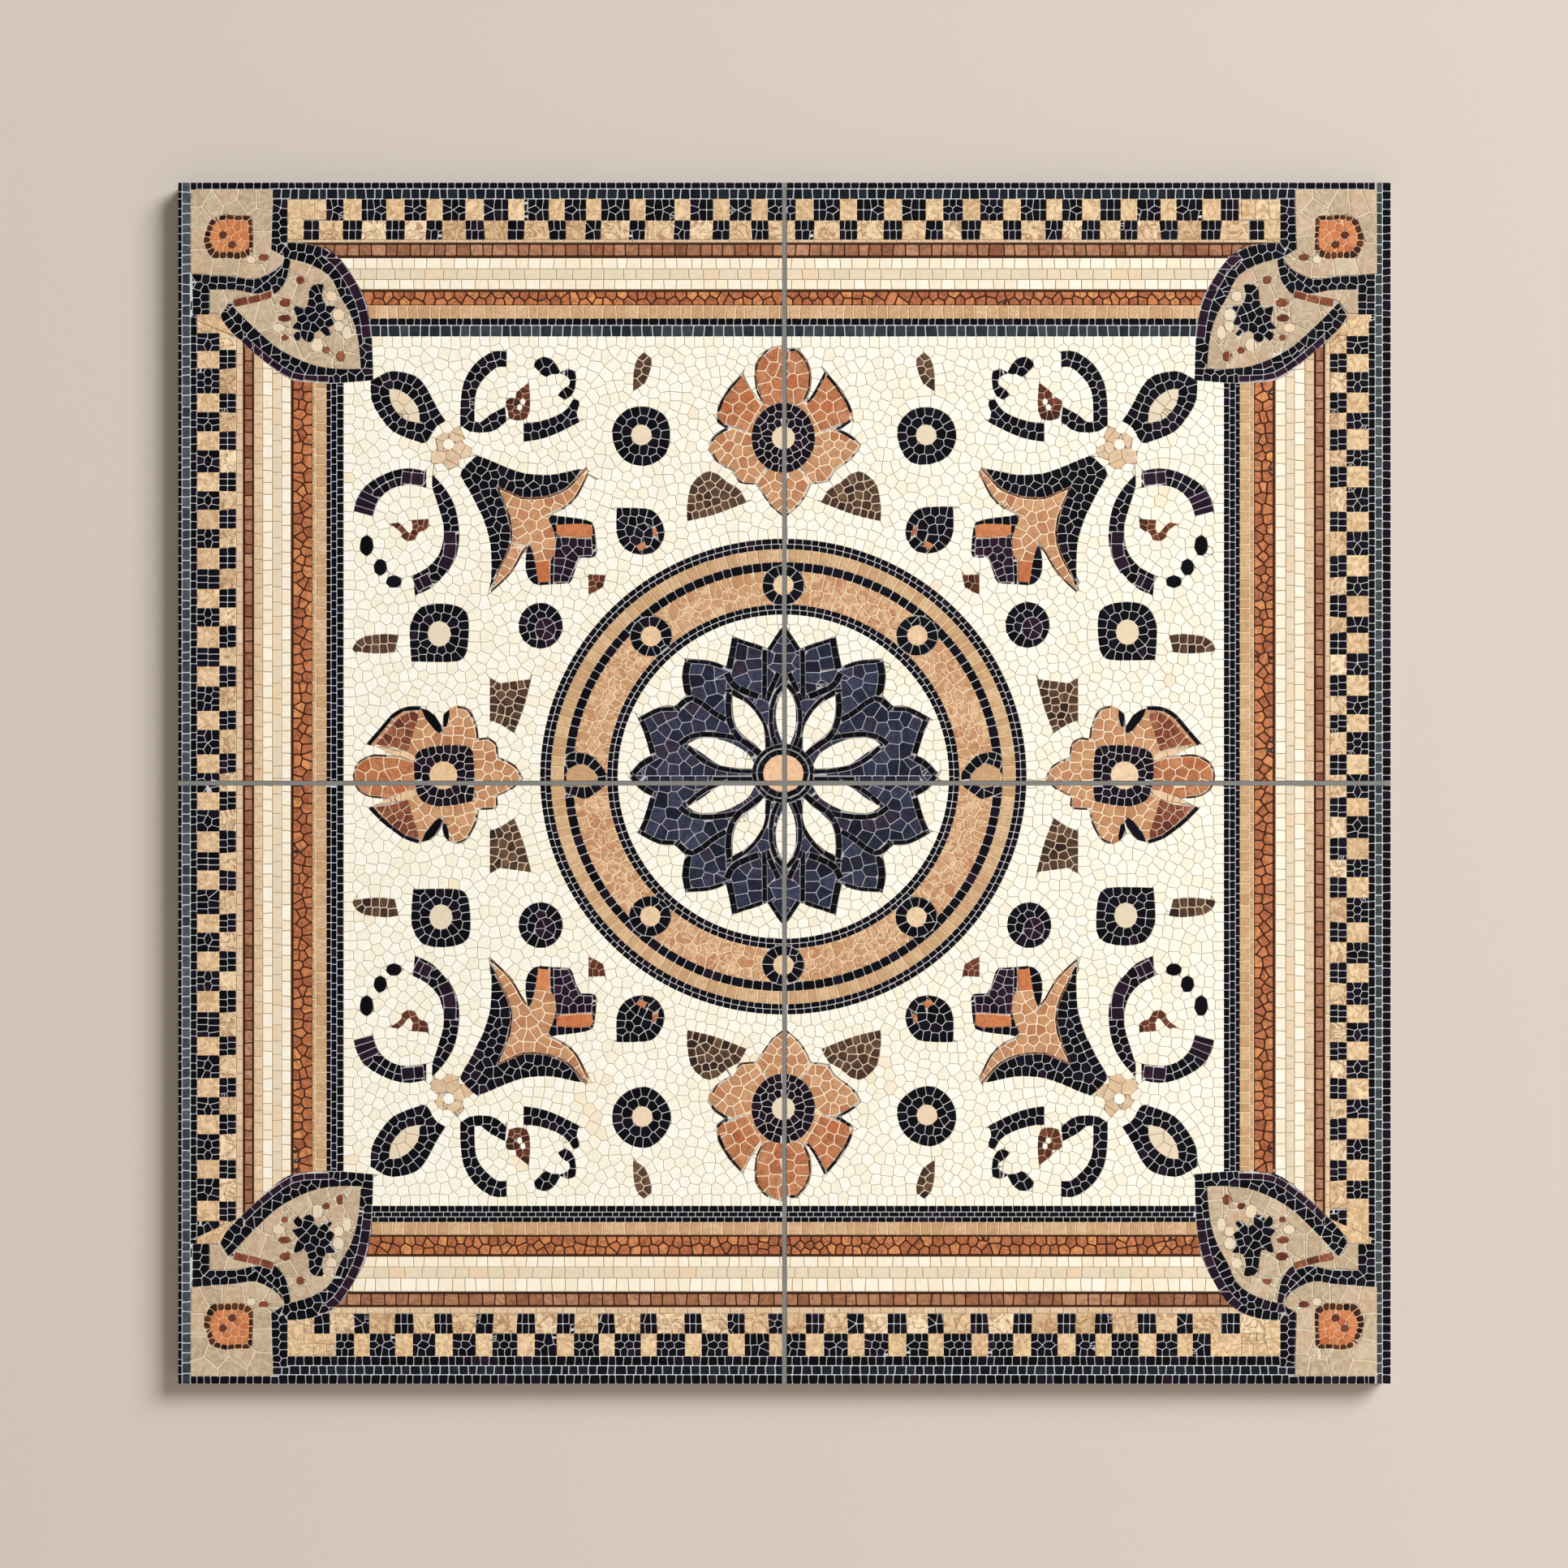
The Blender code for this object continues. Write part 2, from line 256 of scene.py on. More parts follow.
def lay_ring(number, centre, across, up, inner, outer, count):
    """A round row of stones between two shares of the ring's radii."""
    turns = [2 * math.pi * (k + rng.uniform(-RING_UNEVEN, RING_UNEVEN)) / count for k in range(count)]
    turns.append(turns[0] + 2 * math.pi)
    for a, b in zip(turns, turns[1:]):
        quad = [(inner, a), (outer, a), (outer, b), (inner, b)]
        line = [(centre[0] + across * r * math.cos(t), centre[1] - up * r * math.sin(t)) for r, t in quad]
        laid.append((number, line))


def lay_line(kind, points, width, length):
    """A thin line of single stones along a smooth path, painted as a field of its own."""
    path = smooth(points, closed=False)
    number = field(kind, ribbon(path, width), rows=True)
    run = [0.0]
    for p, q in zip(path, path[1:]):
        run.append(run[-1] + math.dist(p, q))
    count = max(1, round(run[-1] / length))
    edge = ribbon(path, width + OVERLAP)
    one, other = edge[: len(path)], edge[len(path) :][::-1]
    marks = [run[-1] * k / count for k in range(count + 1)]
    picks = [int(np.argmin([abs(r - m) for r in run])) for m in marks]
    for a, b in zip(picks, picks[1:]):
        if b > a:
            laid.append((number, [one[a], one[b], other[b], other[a]]))


print("lengths in a row differ by up to", round(ROW_UNEVEN * 100), "percent")

# %% [markdown]
# The ground comes first: cream stones over the whole sheet. On it lie the border's stripes. They could be one
# striped texture, but single stones give real joints, which also show at the panel's edge. Each side of the
# real border was set out by hand, so its widths differ a little from side to side; they are listed as the
# measured lines from the edge inwards. The outer dark rows butt at the corners, where the upright ones run
# through, and the other stripes meet on a mitre that the leaf ornaments hide.

# %% Stripes of the border
field("cream", box_line(LEFT - 20, TOP - 20, RIGHT + 20, BOTTOM + 20))
# side: (the lines between its stripes, the stones of each stripe)
SIDES = {
    "top": (
        (225.0, 232.4, 245.0, 295.5, 299.0, 301.0, 315.4, 318.0, 331.4, 344.6, 356.8, 359.0, 376.4, 392.6, 400.6,
         414.5),
        "black dusk checker straw seam brown seam white dove white seam rust tan black steel",
    ),
    "bottom": (
        (1705.0, 1694.0, 1682.6, 1671.4, 1618.4, 1610.8, 1608.6, 1594.2, 1591.6, 1575.0, 1561.4, 1548.4, 1546.2,
         1523.2, 1521.4, 1505.8, 1499.4, 1493.4, 1486.0),
        "black dusk black checker straw seam brown seam white dove white seam rust seam tan black black black",
    ),
    "left": (
        (219.5, 224.3, 234.6, 242.5, 291.0, 299.0, 301.0, 311.0, 312.6, 323.4, 335.2, 346.6, 358.2, 360.6, 384.6,
         389.4, 402.2, 408.0, 415.0, 423.0),
        "black slate black checker straw seam brown seam straw white dove white seam rust tan tan black black black",
    ),
    "right": (
        (1713.5, 1703.6, 1694.6, 1686.5, 1638.5, 1632.4, 1630.6, 1620.6, 1619.0, 1607.6, 1594.6, 1584.0, 1571.2,
         1568.8, 1545.0, 1540.6, 1527.4, 1522.4, 1515.2, 1508.0),
        "black slate black checker straw seam brown seam straw white dove white seam rust tan tan black black black",
    ),
}
UPRIGHT = ("left", "right")
OUTER_ROWS = 3
LENGTHS = {
    "black": 10.4, "slate": 12.5, "dusk": 11.5, "steel": 12.5, "straw": 17.0, "brown": 15.0, "tan": 13.5,
    "white": 15.5, "dove": 20.0, "seam": 60.0,
}
# How far the corners reach inwards: from the sides, from the top and from the bottom
CORNER_ACROSS, CORNER_TOP, CORNER_BOTTOM = 240, 243.5, 258


def mitre(side, at):
    """Where a line parallel to a side, at that depth, meets the two corner diagonals."""
    if side in UPRIGHT:
        share = abs(at - (LEFT if side == "left" else RIGHT)) / CORNER_ACROSS
        return TOP + share * CORNER_TOP, BOTTOM - share * CORNER_BOTTOM
    share = (at - TOP) / CORNER_TOP if side == "top" else (BOTTOM - at) / CORNER_BOTTOM
    return LEFT + share * CORNER_ACROSS, RIGHT - share * CORNER_ACROSS


def strip(side, outer, inner):
    """The outline of one stripe of the border, with mitred ends."""
    a0, a1 = mitre(side, outer)
    b0, b1 = mitre(side, inner)
    line = [(a0, outer), (a1, outer), (b1, inner), (b0, inner)]
    return [(y, x) for x, y in line] if side in UPRIGHT else line


print(sum(len(kinds.split()) for _, kinds in SIDES.values()), "stripes on four sides")

# %% [markdown]
# The chequer band has two rows: plain light squares between dark clusters, and marbled stones between dark
# clusters. The clusters of the two rows swap places, as squares on a board do. Their sizes and steps are drawn
# at random within the span that the real ones show.

# %% Chequer band and border
SQUARE_HALF = {True: (10.8, 13.2), False: (9.2, 11.5)}
SQUARE_STEP = (45, 56)
FIRST_SQUARE, LAST_SQUARE = 195, 185
CLUSTER = 22
SPLIT = {True: 0.57, False: 0.53}
LIGHT_START, LEAF_CLEAR = 100, 90


def lay_checkers(side, outer, inner):
    """Both rows of the band along one side."""
    upright = side in UPRIGHT
    start, end = mitre(side, outer)
    sign = 1 if inner > outer else -1
    split = outer + sign * abs(inner - outer) * SPLIT[upright]
    light = field("beige", strip(side, outer, split), rows=True)
    marbled = field("marble", strip(side, split, inner), rows=True)

    def block(kind, depth_a, depth_b, near_a, near_b, far_a=None, far_b=None):
        far_a, far_b = near_a if far_a is None else far_a, near_b if far_b is None else far_b
        line = [(near_a, depth_a), (near_b, depth_a), (far_b, depth_b), (far_a, depth_b)]
        line = [(y, x) for x, y in line] if upright else line
        if kind == "black":
            field(kind, line)
        else:
            laid.append((light if kind == "beige" else marbled, line))

    at, squares = start + FIRST_SQUARE, []
    while at < end - LAST_SQUARE:
        half = rng.uniform(*SQUARE_HALF[upright])
        squares.append((at - half, at + half))
        at += rng.uniform(*SQUARE_STEP)
    first = squares[0][0]
    edge = first - CLUSTER
    block("beige", outer, split, start + LIGHT_START, edge)
    for a, b in squares:
        block("black", outer, split, edge, a)
        block("beige", outer, split, a, b)
        spread, shift = rng.uniform(-1, 1.5), rng.uniform(-1.5, 1.5)
        block("marble", split, inner, edge - 2, a + 1)
        block("black", split, inner - sign * 0.5, a - spread, b + spread, a + shift, b + shift)
        edge = b
    block("black", outer, split, edge, edge + CLUSTER)
    block("beige", outer, split, edge + CLUSTER, end - LEAF_CLEAR)
    for kind, a, b in (
        ("marble", start + LEAF_CLEAR, first - 49), ("black", first - 49, first - 30),
        ("marble", first - 30, first - CLUSTER), ("marble", edge - 2, edge + 34),
        ("black", edge + 36, edge + 58), ("marble", edge + 58, end - LEAF_CLEAR),
    ):
        block(kind, split, inner, a, b)


for side, (levels, kinds) in SIDES.items():
    upright = side in UPRIGHT
    for place, (outer, inner, kind) in enumerate(zip(levels, levels[1:], kinds.split())):
        if kind == "checker":
            lay_checkers(side, outer, inner)
        elif kind == "rust":
            field("rust", strip(side, outer, inner))
        else:
            low, high = sorted((outer, inner))
            line, (start, end) = strip(side, outer, inner), mitre(side, outer)
            if place < OUTER_ROWS:
                start, end = (TOP, BOTTOM) if upright else (LEFT, RIGHT)
                line = box_line(low, start, high, end) if upright else box_line(start, low, end, high)
            number = field(kind, line, rows=True)
            lay_row(number, upright, low, high, start, end, LENGTHS[kind])
print(len(fields) - 1, "fields,", len(laid), "stones laid in rows")

# %% [markdown]
# A corner ornament is a sand-coloured square with an orange patch, framed on its two inner sides by black
# stones, and a pointed leaf that grows from its inner corner towards the middle. The leaf is outlined by two
# rows of black and plum stones and filled with sand, a dark blossom and a few red and cream stones.

# %% Outlines of a corner ornament
def cornered(points, across, down):
    """The points in another corner. The ornament is a little taller at the bottom."""
    moved = []
    for x, y, *sharp in points:
        x = x if across > 0 else 2 * MIRROR_X - x
        y = y if down > 0 else BOTTOM - (y - TOP) * CORNER_BOTTOM / CORNER_TOP
        moved.append((x, y, *sharp))
    return moved


SQUARE = (
    (234.8, 233.5, 1), (336, 233.5, 1), (334, 307, 1), (351.6, 317, 1), (345, 326), (333.4, 335.5), (312, 343.4),
    (285, 340.5), (234.8, 337, 1),
)
SQUARE_FRAME = (
    (336.5, 244.5, 1), (354, 244.5, 1), (354, 300, 1), (370, 312, 1), (357.5, 318, 1), (356, 334), (350, 350),
    (337, 363), (313, 361.5), (290, 357), (257.8, 356.6, 1), (257.8, 387.5, 1), (237.2, 387.5, 1), (236.6, 337.5, 1),
    (285, 341), (312, 344), (333.4, 336.2), (345, 327), (351.8, 317.4, 1), (334.2, 307.4, 1),
)
LEAF_EDGE = (
    (347, 309, 1), (354, 299, 1), (373, 300), (390, 303.5), (405, 310), (418, 320), (434.6, 341.7), (449.5, 368),
    (455, 393), (458, 418), (459.6, 468.4, 1), (410, 472), (370, 470), (348, 462.7), (313.5, 435), (280, 403),
    (272, 388, 1), (281, 374, 1), (300, 368), (346, 330),
)
LEAF = (
    (358, 319, 1), (385, 327), (407, 341.7), (419, 365), (433, 390), (441, 418), (444.5, 454.5, 1), (418, 454.5),
    (385, 449.5), (345, 431), (312, 403), (285.5, 376.5, 1), (314, 370), (338, 362), (346, 355), (353, 343),
)
TAIL = ((258.2, 357.4, 1), (290, 358), (313, 362.5), (300, 368), (281, 373.5), (272, 386, 1), (258.2, 386, 1))
BLOSSOM = (
    (386, 351.7), (398, 350.8), (396.5, 365), (402, 376), (413, 378), (407, 387), (411.5, 399), (404, 404), (409, 412),
    (402, 414), (395, 408), (388, 410), (385, 421), (376, 420), (372, 415), (367, 420), (361.5, 413), (368, 406),
    (359, 404.5), (366, 394.5), (362.5, 378), (376, 380), (380, 368), (381, 358),
)
PATCH = (
    (254.7, 282), (260.5, 270.4), (275, 265), (292, 266), (308.5, 267.5), (311, 285), (311.5, 300), (310, 312),
    (297, 318.5), (282, 318), (262, 317), (255, 308), (251, 296),
)
INNER_PATCH = [(283.5 + (x - 282.5) * 0.80, 291.0 + (y - 292.5) * 0.76) for x, y in PATCH]
PATCH_DOTS = ((274.5, 289.5), (286, 301.5))
# Single stones: x, y and their half widths
RED_STONES = (
    (370, 345, 5.5, 5.5), (352, 373, 8, 5.5), (350.5, 392, 8.5, 4.5), (351, 416, 4.5, 4), (402, 431.5, 5, 4.5),
    (419.5, 439, 6, 7), (325, 317, 7, 4.5),
)
PALE_STONES = (
    (408, 365, 7, 7), (416.5, 388, 7.5, 8), (417, 402, 6.5, 7), (390, 425, 8, 9), (343, 404, 8, 6), (309, 320, 6, 5),
    (427, 410, 6, 9),
)
RED_LINE = ((288, 373.5), (312, 368.5), (337, 361.5))
PLUM_LINES = (
    (((404, 314), (417, 325.5), (431, 346), (443, 371), (449, 394), (452, 416)), 11),
    (((300, 417), (322, 436.5), (351, 457.5), (372, 465), (405, 466.5)), 8),
)
BESIDE_TAIL = ((242, 340, 1), (300, 340, 1), (300, 420, 1), (242, 395, 1))
RIM_TOP, RIM_BOTTOM = 246, 257
print(len(LEAF_EDGE), "points round a leaf")

# %% [markdown]
# The fields are painted from the ground up: the square, its frame, the leaf's dark edge, its sand filling, and
# then the details. The few red and pale stones in the leaf are seven-sided and turned at random, so they look
# chipped by hand.

# %% Corner ornaments
CHIPPED = 7

for across, down in QUARTERS:
    def corner(kind, points):
        field(kind, smooth(cornered(points, across, down)))

    rim = RIM_TOP if down > 0 else RIM_BOTTOM
    corner("beige", BESIDE_TAIL)
    corner("beige", ((354, rim, 1), (402, rim, 1), (402, 271, 1), (374, 271, 1), (374, 294, 1), (354, 300, 1)))
    corner("sand", SQUARE)
    corner("black", SQUARE_FRAME)
    corner("black", LEAF_EDGE)
    corner("sand", LEAF)
    corner("sand", TAIL)
    lay_line("maroon", cornered(RED_LINE, across, down), 9, 15)
    for kind, group in (("dove", PALE_STONES), ("maroon", RED_STONES)):
        for x, y, wide, tall in group:
            at = cornered(((x, y),), across, down)[0]
            lay_stone(kind, ring_line(at, wide, tall, CHIPPED, turn=rng.uniform(0, 1)))
    corner("black", BLOSSOM)
    corner("coffee", PATCH)
    corner("orange", INNER_PATCH)
    for at in cornered(PATCH_DOTS, across, down):
        lay_stone("oxblood", ring_line(at, 5.2, 5.0, CHIPPED))
    for path, width in PLUM_LINES:
        lay_line("plum", cornered(path, across, down), width, 16)
print(len(fields) - 1, "fields with the corners")

# %% [markdown]
# Between the corners and the medallion the cream ground carries loose motifs. The curls, almond rings and
# tulips are drawn once and set four times, as a maker does with a card template. In the lower half some of
# them sit a little higher than a true mirror image would.

# %% Outlines of the curls and tulips
ALMOND = (
    (456.6, 470, 1), (477.3, 458.7), (495, 458.7), (512.9, 464.6), (524.8, 477.5), (538.6, 503), (549, 519, 1),
    (536.6, 527), (526.8, 543), (520.8, 546, 1), (499, 538.7), (481.3, 529), (465.5, 509), (457.6, 491),
)
ALMOND_EYE = (
    (479.3, 479.4, 1), (491.2, 480.4), (505, 489.3), (515, 503.2), (517, 521, 1), (499, 517), (485.2, 503.2),
    (480.3, 491.3),
)
HOOK_OUT = (
    (624, 433, 1), (607.8, 433.4), (590, 443.8), (578.2, 457.7), (570.3, 475.5), (567.3, 499.2), (567, 524, 1),
    (578.2, 531), (594, 532.8), (609.8, 529.8), (624, 519, 1), (622, 501.2, 1), (604, 511), (592, 520), (584.4, 519, 1),
    (585, 493.3), (588, 479.4), (596, 466.6), (611.8, 453), (624, 452.7, 1),
)
SEED_POD = (
    (636, 484), (651.4, 471.5, 1), (652.8, 492), (652, 506), (648, 515.5), (638, 518), (628, 515), (625, 505),
    (623, 496), (629, 490.5), (636, 490.5),
)
CLOUDS = (
    ((658, 450), (661, 444), (669, 440), (679, 443), (686.5, 451.7), (689, 460), (680, 461), (672, 464), (664, 458)),
    (
        (689, 460, 1), (696.4, 455.7), (706.3, 456.7), (709.3, 463.6), (707.3, 481.4), (698.4, 491.3), (690.5, 489.3),
        (688.5, 485), (696.4, 477.5), (701.4, 473.5), (700.4, 465.6),
    ),
    (
        (702.3, 498.2), (706.3, 492.3), (713.2, 494.3), (712.2, 503.2), (710.3, 509.1), (713.8, 520, 1), (688.5, 532.8),
        (666.8, 540.7), (645, 544.3, 1), (645, 521.3, 1), (659, 520.5), (678.6, 515), (694.4, 507.1),
    ),
)
LOWER_CURL = (
    (435.8, 629.7, 1), (439.8, 613.9), (453.6, 596), (479.3, 582), (503, 577.3), (525, 581, 1), (525, 601, 1),
    (499, 598), (479.3, 604), (465.5, 618), (459.5, 635.6, 1),
)
LONG_CURL = (
    (532.7, 585, 1), (546.5, 600), (558.4, 619.8), (564.3, 643.5), (565.3, 667.3), (560.4, 689), (548.5, 706.8),
    (530.7, 724.6), (511, 733.5, 1), (509, 708.8, 1), (526.8, 699), (540.6, 683), (546.5, 661.3), (545.5, 643.5),
    (538.6, 619.8), (532.7, 600),
)
SQUIGGLE = (
    (481, 645.5, 1), (492, 645), (499, 652), (504, 657), (508, 652), (507, 641, 1), (527.8, 639.5, 1), (526, 651),
    (516, 656), (511, 664), (504, 666.5), (496, 663), (493, 655),
)
DROPS = ((451.6, 672.2, 8.2, 12.5), (468.4, 698.9, 8, 10), (485.2, 716.7, 9.5, 7.5))
LITTLE_FLOWER = (
    (553, 534), (563, 526), (571, 536), (570, 546), (581, 553), (576, 564), (566, 566), (564, 574), (552, 578),
    (544, 571), (533, 572), (531, 560), (539, 551), (536, 542), (545, 534),
)
TULIP_WING = (
    (568, 586), (572, 576), (582, 566), (588, 561.5, 1), (603, 567), (619, 574), (635, 580), (651, 584), (679, 585),
    (708, 579.3), (716, 578, 1), (708, 590), (698, 600), (684, 607), (671, 611), (645, 612), (629, 606),
    (613.4, 599, 1), (619, 615), (623, 630), (629, 657), (628, 672), (624, 687), (614, 706), (601, 730, 1),
    (604.5, 717), (605.5, 697), (603.5, 667), (595.6, 640), (588, 624), (580, 608),
)
TULIP = (
    (613.4, 599, 1), (629, 606), (645, 612), (671, 611), (684, 607), (698, 600), (708, 590), (722, 575, 1), (724, 583),
    (718, 598), (710.3, 612), (696.4, 625.7), (678.6, 634), (677, 642), (680.6, 650), (684.6, 666), (682.6, 685),
    (679, 690), (678, 716.7, 1), (663, 718, 1), (659, 693), (654.9, 677), (651, 670, 1), (645, 679), (629.2, 706.8),
    (604, 730, 1), (614, 706), (624, 687), (628, 672), (629, 657), (623, 630), (619, 615),
)
TULIP_STAND = (
    (676.6, 637.6), (686.5, 636), (724, 641.5), (732, 651.4), (735, 681, 1), (731, 686.5), (716, 687, 1), (710.3, 697),
    (704.3, 714.7), (700.4, 718.7, 1), (680.6, 719.8), (662.8, 720.6), (653, 714.7), (648, 703), (648, 685),
    (651, 672, 1),
)
STAND_PLUM = (
    (686, 662, 1), (729, 664, 1), (730, 684, 1), (714, 685, 1), (700, 717, 1), (682, 717, 1), (683, 690, 1),
)
STAND_BARS = (
    ((685, 647, 1), (705, 645.5), (724, 646), (730, 651.4), (729, 663, 1), (714, 662), (698.4, 662), (686, 659, 1)),
    ((659, 692, 1), (677, 690, 1), (678, 716.5, 1), (663, 718, 1)),
)
TULIP_LINES = (
    ((612, 600), (629, 607.5), (645, 613.5), (671, 612.5), (698, 602), (722, 577)),
    ((724, 584), (710, 611), (696, 624.5), (679, 633)), ((650, 673), (644, 680), (628, 706), (605, 729)),
    ((614, 603), (628, 640), (628, 672), (612, 708)),
)
# The plum stones of the curls: path, width, length of a stone
CURL_PLUM = (
    (((447, 633), (451, 620), (456, 609)), 24, 9), (((495, 588), (522, 591)), 15, 14),
    (((554, 655), (554, 680), (546, 700)), 15, 15), (((530, 713), (512, 722)), 15, 10),
)
CHIP = ((725, 707.8, 1), (746, 708.8, 1), (743, 722.6, 1), (735, 728), (725, 732.5, 1))
CURL_RISE, FLOWER_RISE = 4, 10
print(len(TULIP), "points in a tulip")

# %% [markdown]
# The four copies could be finished meshes, mirrored at the end. Mirroring the outlines instead lets every copy
# get stones of its own, as in the real work, where no two quarters have the same stones.

# %% Curls and tulips
for across, down in QUARTERS:
    def quarter(points, rise=0):
        """The points in this quarter, raised a little in the lower half."""
        rise = rise if down < 0 else 0
        return mirrored([(x, y + rise, *sharp) for x, y, *sharp in points], across, down)

    def motif(kind, points, rise=0, **how):
        field(kind, smooth(quarter(points, rise)), **how)

    motif("black", ALMOND, CURL_RISE)
    motif("dove", ALMOND_EYE, CURL_RISE, calm=True)
    motif("black", HOOK_OUT, CURL_RISE)
    motif("oxblood", SEED_POD, CURL_RISE)
    for at in quarter(((640, 502), (644, 495)), CURL_RISE):
        field("cream", ring_line(at, 3.4, 4.2, 8))
    for cloud in CLOUDS:
        motif("black", cloud, CURL_RISE)
    motif("black", LOWER_CURL)
    motif("black", LONG_CURL)
    motif("oxblood", SQUIGGLE)
    for x, y, wide, tall in DROPS:
        lay_stone("ink", ring_line(quarter(((x, y),))[0], wide, tall, 14))
    motif("straw", LITTLE_FLOWER, FLOWER_RISE)
    lay_stone("cream", ring_line(quarter(((552.5, 547.6),), FLOWER_RISE)[0], 7, 7, 9))
    motif("black", TULIP_STAND)
    motif("plum", STAND_PLUM)
    motif("black", TULIP_WING)
    motif("apricot", TULIP)
    for path in TULIP_LINES:
        lay_line("brown", quarter(path), 2.6, 11)
    for bar in STAND_BARS:
        lay_stone("orange", smooth(quarter(bar)))
    for path, width, length in CURL_PLUM:
        lay_line("plum", quarter(path), width, length)
    motif("oxblood", CHIP, calm=True)
print(len(fields) - 1, "fields with the curls and tulips")

# %% [markdown]
# The rings with a light middle, the droplets and the round dots are too far from a mirror image for that, so
# each is set at its own spot and only turned to its quarter. The round rings are bumpy, as if cut by eye.

# %% Rings, dots, darts and fans
def facing(x, y):
    """The quarter that a spot lies in."""
    return 1 if x < MIRROR_X else -1, 1 if y < MIRROR_Y else -1


def set_at(shape, x, y, across, down):
    """A shape drawn round its own middle, set at a spot and turned to its quarter."""
    return [(x + across * p[0], y + down * p[1], *p[2:]) for p in shape]


BUMPS = 9
ROUND_RINGS = ((790, 537), (1141, 537), (791, 1377), (1142, 1375))
SQUARE_RINGS = ((541, 781), (543, 1130), (1389, 779), (1387, 1128))
SQUARE_RING = (
    (-34, 34, 1), (-36, 10), (-35, -12), (-24, -31), (-4, -37), (22, -34), (35, -22), (35.5, 10), (30, 29),
    (14, 34.5),
)
DROPLETS = ((789, 655), (1145, 653.5), (789, 1255), (1145, 1255))
DROPLET = ((-29, -29, 1), (-8, -29), (14, -26), (26, -12), (29, 6), (18, 24), (-2, 28), (-20, 20), (-29, 2))
DROPLET_CHIPS = (((14, -6), (20, -2), (22, 7), (15, 4)), ((-6, 18), (5, 12), (8, 20), (-1, 24)))
DOTS = ((666, 771), (666, 1140), (1266, 770), (1268, 1140))
DART = (
    (793, 434.5, 1), (801.7, 442), (801.7, 452.5), (798, 464), (793, 473), (780, 482, 1), (780.7, 459.6), (785, 443),
)
SIDE_DART = (
    (434.3, 800), (445.5, 786), (473.6, 781.4), (491, 783.5, 1), (486, 803.5, 1), (466.6, 805.2), (445.5, 803.5),
)
FAN = (
    (868.4, 582.5), (882.4, 584), (896.4, 594.6), (910.5, 603.4), (919.5, 619, 1), (880, 634), (847, 642, 1),
    (846.6, 624.4), (852, 598),
)
SIDE_FAN = (
    (603.5, 835, 1), (615.6, 842, 1), (654.2, 836.8, 1), (645, 872), (633.2, 903.4, 1), (617, 893), (603.4, 887.7, 1),
)

for x, y in ROUND_RINGS:
    radii = [36.3 + rng.uniform(-1.6, 1.6) for _ in range(BUMPS)]
    turns = [2 * math.pi * k / BUMPS for k in range(BUMPS)]
    field("black", smooth([(x + r * math.cos(t), y - r * math.sin(t)) for r, t in zip(radii, turns)]))
    lay_stone("dove", ring_line((x, y - 1), 13, 13, 12))
for x, y in SQUARE_RINGS:
    field("black", smooth(set_at(SQUARE_RING, x, y, *facing(x, y))))
    lay_stone("dove", ring_line((x, y), 14.5, 16, 12))
for x, y in DROPLETS:
    field("black", smooth(set_at(DROPLET, x, y, *facing(x, y))))
    for chip in DROPLET_CHIPS:
        lay_stone("clay", set_at(chip, x, y, *facing(x, y)))
for x, y in DOTS:
    field("black", ring_line((x, y), 27, 28, 30))
    field("plum", ring_line((x + 6, y + 4), 13, 14, 12))
for across, down in QUARTERS:
    for shape in (DART, SIDE_DART, FAN, SIDE_FAN):
        field("umber", smooth(mirrored(shape, across, down)))
print(len(fields) - 1, "fields with the small motifs")

# %% [markdown]
# Four flowers stand at the middles of the sides, each across a joint between two boards: terracotta petals,
# some with a thin dark edge, round a dark ring of small stones with a light middle. The lower one sits a
# little closer to the medallion than the upper one.

# %% Outlines of the flowers
TOP_FLOWER = (
    (931.5, 445.5), (945.5, 431.5), (961.3, 426), (971, 431), (980.6, 429), (993, 442), (999.2, 459.6), (998, 480.6),
    (991, 495, 1), (1002, 488), (1011, 474), (1017.4, 459, 1), (1036.7, 480.6), (1049, 505), (1049, 517.4), (1035, 523),
    (1029.7, 529.7, 1), (1042, 533), (1058.5, 545.5), (1058.5, 553), (1048, 566), (1036, 575), (1027, 583), (1021, 593),
    (1012, 595), (998, 596.4, 1), (991, 612), (982, 624), (967, 637, 1), (951, 623), (940, 608), (931.5, 596.4, 1),
    (915, 596), (908, 590), (903, 580), (882.4, 568.3), (872.6, 553), (878, 541), (886, 533), (899, 527, 1), (886, 523),
    (883, 512), (885, 498), (891, 487.6), (900, 474), (915.7, 459.6, 1), (921, 472), (930, 487), (941, 499, 1),
    (935, 477), (930.4, 459.6),
)
CROWN_PETAL = (
    (931.5, 446), (946, 432), (961.3, 427), (971, 432), (980.6, 430), (992.5, 443), (998.5, 460), (997, 481),
    (990, 496, 1), (966, 502), (941, 498, 1), (934, 477), (930.8, 459.6),
)
WING_PETAL = (
    (915, 462, 1), (921, 474), (930, 489), (938, 500, 1), (926, 520), (921, 531, 1), (901, 526, 1), (887, 522),
    (884, 512), (886, 498), (892, 488), (901, 474.5),
)
LIME_LINES = (((900, 525), (915, 531), (928, 536)), ((932, 595), (938, 586), (945, 578)))
FLOWER_EDGES = (
    ((914, 461), (900, 478), (890, 494), (885, 507)), ((1018, 461), (1032, 478), (1043, 495), (1048.5, 508)),
    ((884, 516), (889, 523), (897, 526)), ((877, 543), (885, 534), (896, 529)), ((1048, 518), (1038, 525), (1031, 529)),
    ((1053, 542), (1043, 535), (1032, 531)),
)
CROWN_LINES = (
    ((944, 433), (934, 446), (930.8, 462), (933, 480), (939, 494)),
    ((981, 431), (992.5, 445), (997.6, 461), (996, 480), (991, 492)),
)
